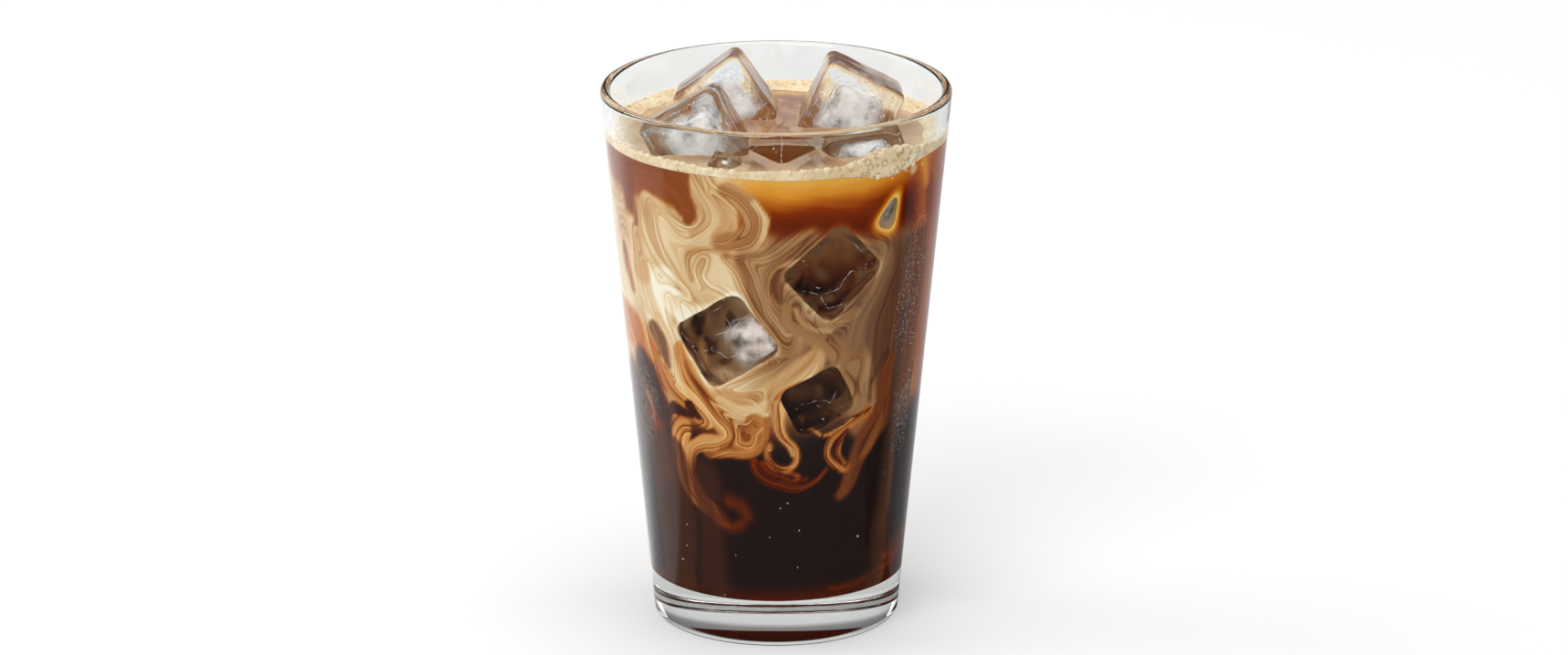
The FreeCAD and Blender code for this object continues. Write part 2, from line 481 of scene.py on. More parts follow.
class Finish:
    """A procedural finish, made once and shared by the pieces that wear it."""

    name = "finish"
    made: dict[str, bpy.types.Material] = {}
    groups: dict[str, bpy.types.NodeTree] = {}

    def material(self) -> bpy.types.Material:
        """Returns the finish's material, built on first use."""
        if self.name not in Finish.made:
            material = bpy.data.materials.new(self.name)
            material.use_nodes = True
            material.node_tree.nodes.clear()
            w = Wiring(material.node_tree)
            self.wire(w, w.add("ShaderNodeTexCoord").outputs["Object"])
            Finish.made[self.name] = material
        return Finish.made[self.name]

    def wire(self, w: Wiring, place: bpy.types.NodeSocket) -> None:
        """Builds the material's nodes.

        Args:
            w: the material's tree.
            place: the Object coordinates, in metres.
        """
        raise NotImplementedError

    @staticmethod
    def group(w: Wiring, build, inputs: dict) -> bpy.types.Node:
        """Places a shared effect in a material with its own values.

        Args:
            w: the material's tree.
            build: the function that builds the effect's group.
            inputs: the group's input names and values.

        Returns:
            The group node.
        """
        if build.__name__ not in Finish.groups:
            Finish.groups[build.__name__] = build()
        node = w.add("ShaderNodeGroup", node_tree=Finish.groups[build.__name__])
        for name, value in inputs.items():
            if isinstance(value, bpy.types.NodeSocket):
                w.tree.links.new(value, node.inputs[name])
            else:
                node.inputs[name].default_value = value
        return node

    @staticmethod
    def relief(w: Wiring, height, strength: float, depth: float) -> bpy.types.NodeSocket:
        """Adds a Bump node and returns its normal."""
        return w.add("ShaderNodeBump", {"Height": height, "Strength": strength, "Distance": depth}).outputs[0]

    @staticmethod
    def clear_output(w: Wiring, shader, tint: tuple, share: float) -> None:
        """Ends a clear material so that lamps reach what lies behind it.

        Args:
            w: the material's tree.
            shader: the clear surface's shader output.
            tint: the colour that shadow rays take on.
            share: how much of the light that casts shadows passes.
        """
        through = w.add("ShaderNodeBsdfTransparent", {0: (*tint, 1.0)}).outputs[0]
        path = w.add("ShaderNodeLightPath").outputs
        soft = w.math("MAXIMUM", path["Is Shadow Ray"], path["Is Diffuse Ray"])
        mixed = w.add("ShaderNodeMixShader", {0: w.math("MULTIPLY", soft, share), 1: shader, 2: through})
        w.add("ShaderNodeOutputMaterial", {0: mixed.outputs[0]})


@dataclass(frozen=True)
class GlassFinish(Finish):
    """Clear soda glass, faintly uneven from pressing."""

    name: str = "tumbler_glass"

    def wire(self, w: Wiring, place: bpy.types.NodeSocket) -> None:
        """Builds the material's nodes; see Finish.wire."""
        waves = self.group(w, relief_group, {
            "Place": place, "Wave Scale": 45.0, "Grain Scale": 260.0, "Grain Share": 0.08,
        }).outputs[0]
        shades = w.ramp(w.noise(place, 30.0), [(0.0, tint(237, 239, 237)), (1.0, tint(240, 242, 240))])
        shader = w.add("ShaderNodeBsdfPrincipled", {
            "Base Color": shades, "Roughness": 0.0, "IOR": 1.5, "Transmission Weight": 1.0,
            "Normal": self.relief(w, waves, 0.06, 1.0 * MM),
        })
        self.clear_output(w, shader.outputs[0], (0.97, 0.98, 0.975), 1.0)


@dataclass(frozen=True)
class IceFinish(Finish):
    """Clear wet ice with a softly melted skin."""

    name: str = "clear_ice"
    skin: float = 0.35
    bend: float = 1.31
    edge_reflection_share: float = 1.0  # how strongly the steep edges are painted the drink's brown, a painted reflection of the drink
    cast: tuple[float, float, float] = tint(244, 247, 249)

    def wire(self, w: Wiring, place: bpy.types.NodeSocket) -> None:
        """Builds the material's nodes; see Finish.wire."""
        waves = self.group(w, relief_group, {
            "Place": place, "Wave Scale": 210.0, "Grain Scale": 1500.0, "Grain Share": 0.15,
        }).outputs[0]
        frost = w.ramp(w.noise(place, 330.0, 5.0), [(0.45, (0.0, 0.0, 0.0)), (0.8, (0.16, 0.16, 0.16))])
        normal = self.relief(w, waves, self.skin, 0.6 * MM)
        clear = w.ramp(w.noise(place, 120.0), [(0.0, self.cast), (1.0, self.cast)])
        # painted reflection: the steep edges are painted the drink's brown, in patches
        edge = w.add("ShaderNodeLayerWeight", {0: 0.5, "Normal": normal}).outputs["Facing"]
        steep = w.ramp(edge, [(0.30, (0.0, 0.0, 0.0)), (0.55, (0.5, 0.5, 0.5)), (0.80, (1.0, 1.0, 1.0))])
        patchy = w.ramp(w.noise(place, 190.0, 4.0), [(0.35, (0.35, 0.35, 0.35)), (0.6, (1.0, 1.0, 1.0))])
        share = w.math("MULTIPLY", w.math("MULTIPLY", steep, patchy), self.edge_reflection_share)
        shaded = w.blend(share, clear, (*tint(156, 84, 34), 1.0))
        shader = w.add("ShaderNodeBsdfPrincipled", {
            "Base Color": shaded, "Roughness": frost, "IOR": self.bend, "Transmission Weight": 1.0, "Normal": normal,
        })
        self.clear_output(w, shader.outputs[0], (0.93, 0.94, 0.95), 0.9)


@dataclass(frozen=True)
class WaterFinish(Finish):
    """Droplets of water."""

    name: str = "water"

    def wire(self, w: Wiring, place: bpy.types.NodeSocket) -> None:
        """Builds the material's nodes; see Finish.wire."""
        shades = w.ramp(w.noise(place, 90.0), [(0.0, (0.97, 0.98, 0.98)), (1.0, (1.0, 1.0, 1.0))])
        shader = w.add("ShaderNodeBsdfPrincipled", {
            "Base Color": shades, "Roughness": 0.02, "IOR": 1.33, "Transmission Weight": 1.0,
        })
        self.clear_output(w, shader.outputs[0], (0.97, 0.97, 0.97), 1.0)


@dataclass(frozen=True)
class MistFinish(Finish):
    """Fine dew on cold glass, which scatters light."""

    name: str = "fine_dew"

    def wire(self, w: Wiring, place: bpy.types.NodeSocket) -> None:
        """Builds the material's nodes; see Finish.wire."""
        shades = w.ramp(w.noise(place, 900.0), [(0.35, tint(112, 102, 94)), (0.65, tint(208, 200, 192))])
        shader = w.add("ShaderNodeBsdfPrincipled", {"Base Color": shades, "Roughness": 0.25, "Alpha": 0.65})
        w.add("ShaderNodeOutputMaterial", {0: shader.outputs[0]})


@dataclass(frozen=True)
class CloudFinish(Finish):
    """The white, air-filled core of an ice cube, thin towards its edge."""

    name: str = "cloudy_core"
    painted_glow: float = 0.12  # painted glow: emission standing in for light scattered out of its depth

    def wire(self, w: Wiring, place: bpy.types.NodeSocket) -> None:
        """Builds the material's nodes; see Finish.wire."""
        dense = w.add("ShaderNodeAttribute", attribute_name="dense").outputs["Fac"]
        wisps = w.noise(place, 240.0, 6.0, 0.6)
        share = w.math("MULTIPLY", w.math("ADD", wisps, -0.36), 5.5)
        edge = w.add("ShaderNodeLayerWeight", {0: 0.5}).outputs["Facing"]
        solid = w.ramp(edge, [(0.30, (1.0, 1.0, 1.0)), (0.85, (0.0, 0.0, 0.0))])
        alpha = w.math("MULTIPLY", w.math("MULTIPLY", dense, share), solid, clamp=True)
        white = w.ramp(wisps, [(0.3, tint(240, 242, 244)), (0.6, tint(255, 255, 255))])
        shader = w.add("ShaderNodeBsdfPrincipled", {
            "Base Color": white, "Roughness": 0.6, "Alpha": alpha, "Specular IOR Level": 0.1,
            "Emission Color": (*tint(246, 226, 204), 1.0), "Emission Strength": self.painted_glow,
        })
        w.add("ShaderNodeOutputMaterial", {0: shader.outputs[0]})


@dataclass(frozen=True)
class CrackFinish(Finish):
    """A thin crack in ice that flashes silver where it catches light; it also dresses the bright threads along the
    ice's edges, a painted highlight.
    """

    name: str = "ice_crack"

    def wire(self, w: Wiring, place: bpy.types.NodeSocket) -> None:
        """Builds the material's nodes; see Finish.wire."""
        veins = w.noise(place, 700.0, 4.0, 0.6)
        alpha = w.ramp(veins, [(0.45, (0.0, 0.0, 0.0)), (0.62, (0.75, 0.75, 0.75))])
        shader = w.add("ShaderNodeBsdfPrincipled", {
            "Base Color": w.ramp(veins, [(0.3, (0.55, 0.55, 0.58)), (0.7, (0.95, 0.95, 0.97))]),
            "Roughness": 0.22, "Metallic": 0.35, "Alpha": alpha,
        })
        w.add("ShaderNodeOutputMaterial", {0: shader.outputs[0]})


@dataclass(frozen=True)
class FoamFinish(Finish):
    """Cream-coloured milk foam, its bubbles packed and here and there burst."""

    name: str = "milk_foam"
    pit_share: float = 0.035
    fine: float = 1700.0
    coarse: float = 760.0
    piled: float = 470.0  # the large bubbles of the heap

    def wire(self, w: Wiring, place: bpy.types.NodeSocket) -> None:
        """Builds the material's nodes; see Finish.wire."""
        cells = self.group(w, cells_group, {
            "Place": place, "Fine Scale": self.fine, "Coarse Scale": self.coarse, "Pit Share": self.pit_share,
        }).outputs
        tone = w.noise(place, 150.0, 2.0)
        cream = w.ramp(tone, [(0.3, tint(232, 204, 160)), (0.5, tint(243, 221, 182)), (0.7, tint(250, 235, 204))])
        seam = w.ramp(cells[0], [(0.0, (0.34, 0.34, 0.34)), (0.30, (0.0, 0.0, 0.0))])
        edged = w.blend(seam, cream, (*tint(198, 164, 116), 1.0))
        heap = w.add("ShaderNodeAttribute", attribute_name="heap").outputs["Fac"]
        large = self.group(w, cells_group, {
            "Place": place, "Fine Scale": self.fine, "Coarse Scale": self.piled, "Pit Share": 0.0,
        }).outputs
        rings = w.math("ADD", w.math("MULTIPLY", cells[2], 0.35), large[2], clamp=True)
        ringed = w.blend(w.math("MULTIPLY", w.math("MULTIPLY", rings, heap), 0.8), edged, (*tint(164, 116, 62), 1.0))
        pitted = w.blend(cells[1], ringed, (*tint(96, 66, 34), 1.0))
        shader = w.add("ShaderNodeBsdfPrincipled", {
            "Base Color": pitted, "Roughness": 0.45, "Specular IOR Level": 0.35,
            "Normal": self.relief(w, cells[0], 0.35, 0.4 * MM),
        })
        w.add("ShaderNodeOutputMaterial", {0: shader.outputs[0]})


@dataclass(frozen=True)
class BubbleFinish(Finish):
    """The thin skin of a bubble, clearer in the middle than at its edge."""

    name: str = "bubble_skin"
    rim: tuple = tint(176, 132, 80)

    def wire(self, w: Wiring, place: bpy.types.NodeSocket) -> None:
        """Builds the material's nodes; see Finish.wire."""
        edge = w.add("ShaderNodeLayerWeight", {0: 0.45}).outputs["Facing"]
        alpha = w.math("ADD", w.math("MULTIPLY", edge, 0.50), 0.60, clamp=True)
        skin = w.ramp(w.noise(place, 400.0), [(0.3, tint(236, 216, 178)), (0.7, tint(250, 240, 216))])
        rim = w.ramp(edge, [(0.40, (0.0, 0.0, 0.0)), (0.78, (1.0, 1.0, 1.0))])
        # painted glow: the skin has a faint cream emission
        shader = w.add("ShaderNodeBsdfPrincipled", {
            "Base Color": w.blend(rim, skin, (*self.rim, 1.0)), "Roughness": 0.18, "Alpha": alpha,
            "Emission Color": (*tint(236, 214, 172), 1.0), "Emission Strength": 0.16,
        })
        w.add("ShaderNodeOutputMaterial", {0: shader.outputs[0]})


@dataclass(frozen=True)
class SpeckFinish(Finish):
    """Tiny air bubbles that show as bright specks."""

    name: str = "air_speck"
    # painted glow: the specks' emission makes them bright
    painted_glow: float = 0.2

    def wire(self, w: Wiring, place: bpy.types.NodeSocket) -> None:
        """Builds the material's nodes; see Finish.wire."""
        shades = w.ramp(w.noise(place, 500.0), [(0.3, (0.62, 0.58, 0.54)), (0.7, (0.95, 0.93, 0.90))])
        shader = w.add("ShaderNodeBsdfPrincipled", {
            "Base Color": shades, "Roughness": 0.15, "Emission Color": (1.0, 0.98, 0.94, 1.0),
            "Emission Strength": self.painted_glow,
        })
        w.add("ShaderNodeOutputMaterial", {0: shader.outputs[0]})


@dataclass(frozen=True)
class FloorFinish(Finish):
    """The plain pale floor; mirrored in the glass it is dim, with soft bright sectors."""

    name: str = "pale_floor"
    # angle round the glass in degrees, and how bright the floor is in reflections there
    sectors = ((-180, 0.90), (-128, 0.95), (-112, 0.62), (-82, 0.50), (-77, 0.07), (70, 0.06), (73, 0.005),
               (96, 0.005), (100, 0.18), (126, 0.24), (150, 0.48), (180, 0.60))

    def wire(self, w: Wiring, place: bpy.types.NodeSocket) -> None:
        """Builds the material's nodes; see Finish.wire."""
        shades = w.ramp(w.noise(place, 3.0), [(0.0, (0.90, 0.90, 0.90)), (1.0, (0.92, 0.92, 0.92))])
        spot = w.add("ShaderNodeSeparateXYZ", {0: place}).outputs
        turn = w.math("ARCTAN2", spot[0], w.math("MULTIPLY", spot[1], -1.0))
        share = w.math("ADD", w.math("MULTIPLY", turn, 1 / math.tau), 0.5)
        dim = w.ramp(share, [(angle / 360 + 0.5, (level, level, level)) for angle, level in self.sectors])
        path = w.add("ShaderNodeLightPath").outputs
        mirrored = w.math("SUBTRACT", path["Is Reflection Ray"], path["Is Diffuse Ray"], clamp=True)
        ahead = w.ramp(share, [(0.17, (0.0, 0.0, 0.0)), (0.21, (1.0, 1.0, 1.0)), (0.79, (1.0, 1.0, 1.0)),
                               (0.83, (0.0, 0.0, 0.0))])
        reach = w.math("ADD", w.math("MULTIPLY", spot[0], spot[0]), w.math("MULTIPLY", spot[1], spot[1]))
        near = w.ramp(reach, [(0.19, (1.0, 1.0, 1.0)), (0.23, (0.0, 0.0, 0.0))])
        # painted shade: seen through the glass, the floor ahead of and near the foot is painted near-black, so
        # refractions in the glass and ice show dark
        inner = w.math("MULTIPLY", w.math("MULTIPLY", ahead, near), path["Is Transmission Ray"])
        seen = w.blend(inner, w.blend(mirrored, shades, dim), (0.03, 0.03, 0.03, 1.0))
        far = w.ramp(w.math("MULTIPLY", reach, 0.1), [(0.10, (0.0, 0.0, 0.0)), (0.60, (1.0, 1.0, 1.0))])
        haze = w.blend(w.math("MULTIPLY", far, path["Is Camera Ray"]), (0.0, 0.0, 0.0, 1.0), (0.9, 0.9, 0.9, 1.0))
        shader = w.add("ShaderNodeBsdfPrincipled", {
            "Base Color": seen, "Roughness": 0.9, "Specular IOR Level": 0.0, "Emission Color": haze,
            "Emission Strength": 1.0,
        })
        w.add("ShaderNodeOutputMaterial", {0: shader.outputs[0]})


@dataclass(frozen=True)
class DrinkFinish(Finish):
    """Milk swirling through coffee, read from the drink's own attributes.

    The attribute "milk" is the share of milk, "tone" goes from warm caramel to cool taupe, the taupe partly painted
    shade,
    "amber" says how much light is painted as glowing through thin coffee, "vein" counts
    the folds in millimetres across the flow, and "fold" how strongly they show.
    """

    name: str = "iced_coffee_and_milk"
    fold_scale: float = 0.85  # folds in each millimetre across the flow
    along_scale: float = 30.0  # how fast the folds change along the flow, in each metre
    fold_count: float = 6.0  # fine bands within each broad fold

    warm = [
        (0.00, tint(27, 21, 21)), (0.15, tint(62, 33, 23)), (0.30, tint(112, 62, 30)), (0.45, tint(152, 96, 52)),
        (0.60, tint(184, 133, 82)), (0.75, tint(208, 169, 120)), (0.90, tint(232, 208, 168)), (1.00, tint(247, 238, 218)),
    ]
    cool = [
        (0.00, tint(29, 25, 25)), (0.30, tint(74, 55, 45)), (0.45, tint(104, 79, 61)), (0.60, tint(132, 104, 80)),
        (0.75, tint(162, 132, 102)), (1.00, tint(212, 188, 156)),
    ]
    # painted glow: the colours of light glowing through thin coffee
    painted_glow = [
        (0.00, tint(34, 14, 10)), (0.20, tint(92, 28, 5)), (0.40, tint(136, 50, 8)), (0.60, tint(192, 104, 24)),
        (0.80, tint(224, 152, 50)), (1.00, tint(242, 194, 100)),
    ]

    def wire(self, w: Wiring, place: bpy.types.NodeSocket) -> None:
        """Builds the material's nodes; see Finish.wire."""
        read = {
            name: w.add("ShaderNodeAttribute", attribute_name=name).outputs["Fac"]
            for name in ("milk", "tone", "amber", "vein", "fold", "open_top")
        }
        spot = w.add("ShaderNodeSeparateXYZ", {0: place}).outputs
        across = w.math("MULTIPLY", read["vein"], self.fold_scale)
        along = w.math("MULTIPLY", w.math("ADD", spot[0], w.math("MULTIPLY", spot[1], 0.4)), self.along_scale)
        rise = w.math("MULTIPLY", spot[2], self.along_scale)
        flow = w.add("ShaderNodeCombineXYZ", {0: across, 1: along, 2: rise}).outputs[0]
        broad = w.noise(flow, 0.42, 1.0)
        steps = w.math("FRACT", w.math("MULTIPLY", w.noise(flow, 0.38, 1.6, 0.45), self.fold_count))
        bands = w.ramp(steps, [(0.0, (0.0, 0.0, 0.0)), (0.12, (0.5, 0.5, 0.5)), (0.45, (0.75, 0.75, 0.75)),
                               (0.85, (1.0, 1.0, 1.0)), (1.0, (0.0, 0.0, 0.0))])
        faint = w.noise(flow, 1.5, 2.0, 0.5)
        streak = w.math("ADD", w.math("MULTIPLY", w.math("SUBTRACT", broad, 0.5), 1.0),
                        w.math("MULTIPLY", w.math("SUBTRACT", bands, 0.68), 0.62))
        streak = w.math("ADD", streak, w.math("MULTIPLY", w.math("SUBTRACT", faint, 0.5), 0.55))
        streak = w.math("MULTIPLY", streak, read["fold"])
        milk = w.math("ADD", read["milk"], streak, clamp=True)
        mixed = w.blend(read["tone"], w.ramp(milk, self.warm), w.ramp(milk, self.cool))
        # painted glow: where amber is high the colour is taken from the glow ramp
        colour = w.blend(read["amber"], mixed, w.ramp(milk, self.painted_glow))
        shader = w.add("ShaderNodeBsdfPrincipled", {
            "Base Color": colour, "Roughness": 0.6, "Specular IOR Level": 0.0, "Coat Roughness": 0.05,
            "Coat Weight": read["open_top"],
        })
        w.add("ShaderNodeOutputMaterial", {0: shader.outputs[0]})


# ---------------------------------------------------------------- the swirls


@dataclass(frozen=True)
class Stroke:
    """One tongue of milk or coffee that lies along the wall.

    The path is in degrees from the front and millimetres above the table.
    """

    path: tuple[tuple[float, float], ...]
    width: tuple[float, float]  # mm, at its start and its end
    milk: tuple[float, float]  # share of milk along its left and its right edge
    tone: float = 0.0
    # how much of the stroke is painted as light glowing through thin coffee
    amber: float = 0.0
    soft: float = 1.2  # mm over which an edge fades
    strength: float = 1.0

    def placed(self, turn: float, mirror: int, lift: float) -> "Stroke":
        """Returns the same stroke turned round the glass, perhaps mirrored, and lifted."""
        path = tuple((mirror * angle + turn, height + lift) for angle, height in self.path)
        milk = self.milk if mirror > 0 else self.milk[::-1]
        return Stroke(path, self.width, milk, self.tone, self.amber, self.soft, self.strength)


def through_points(points: np.ndarray, steps: int) -> np.ndarray:
    """Returns a smooth line through the points, as a Catmull-Rom curve."""
    padded = np.vstack([2 * points[0] - points[1], points, 2 * points[-1] - points[-2]])
    share = np.linspace(0, 1, steps, endpoint=False)[:, None]
    line = []
    for a, b, c, d in zip(padded, padded[1:], padded[2:], padded[3:]):
        line.append(0.5 * (2 * b + (c - a) * share + (2 * a - 5 * b + 4 * c - d) * share ** 2
                           + (3 * b - a - 3 * c + d) * share ** 3))
    return np.vstack(line + [points[-1:]])


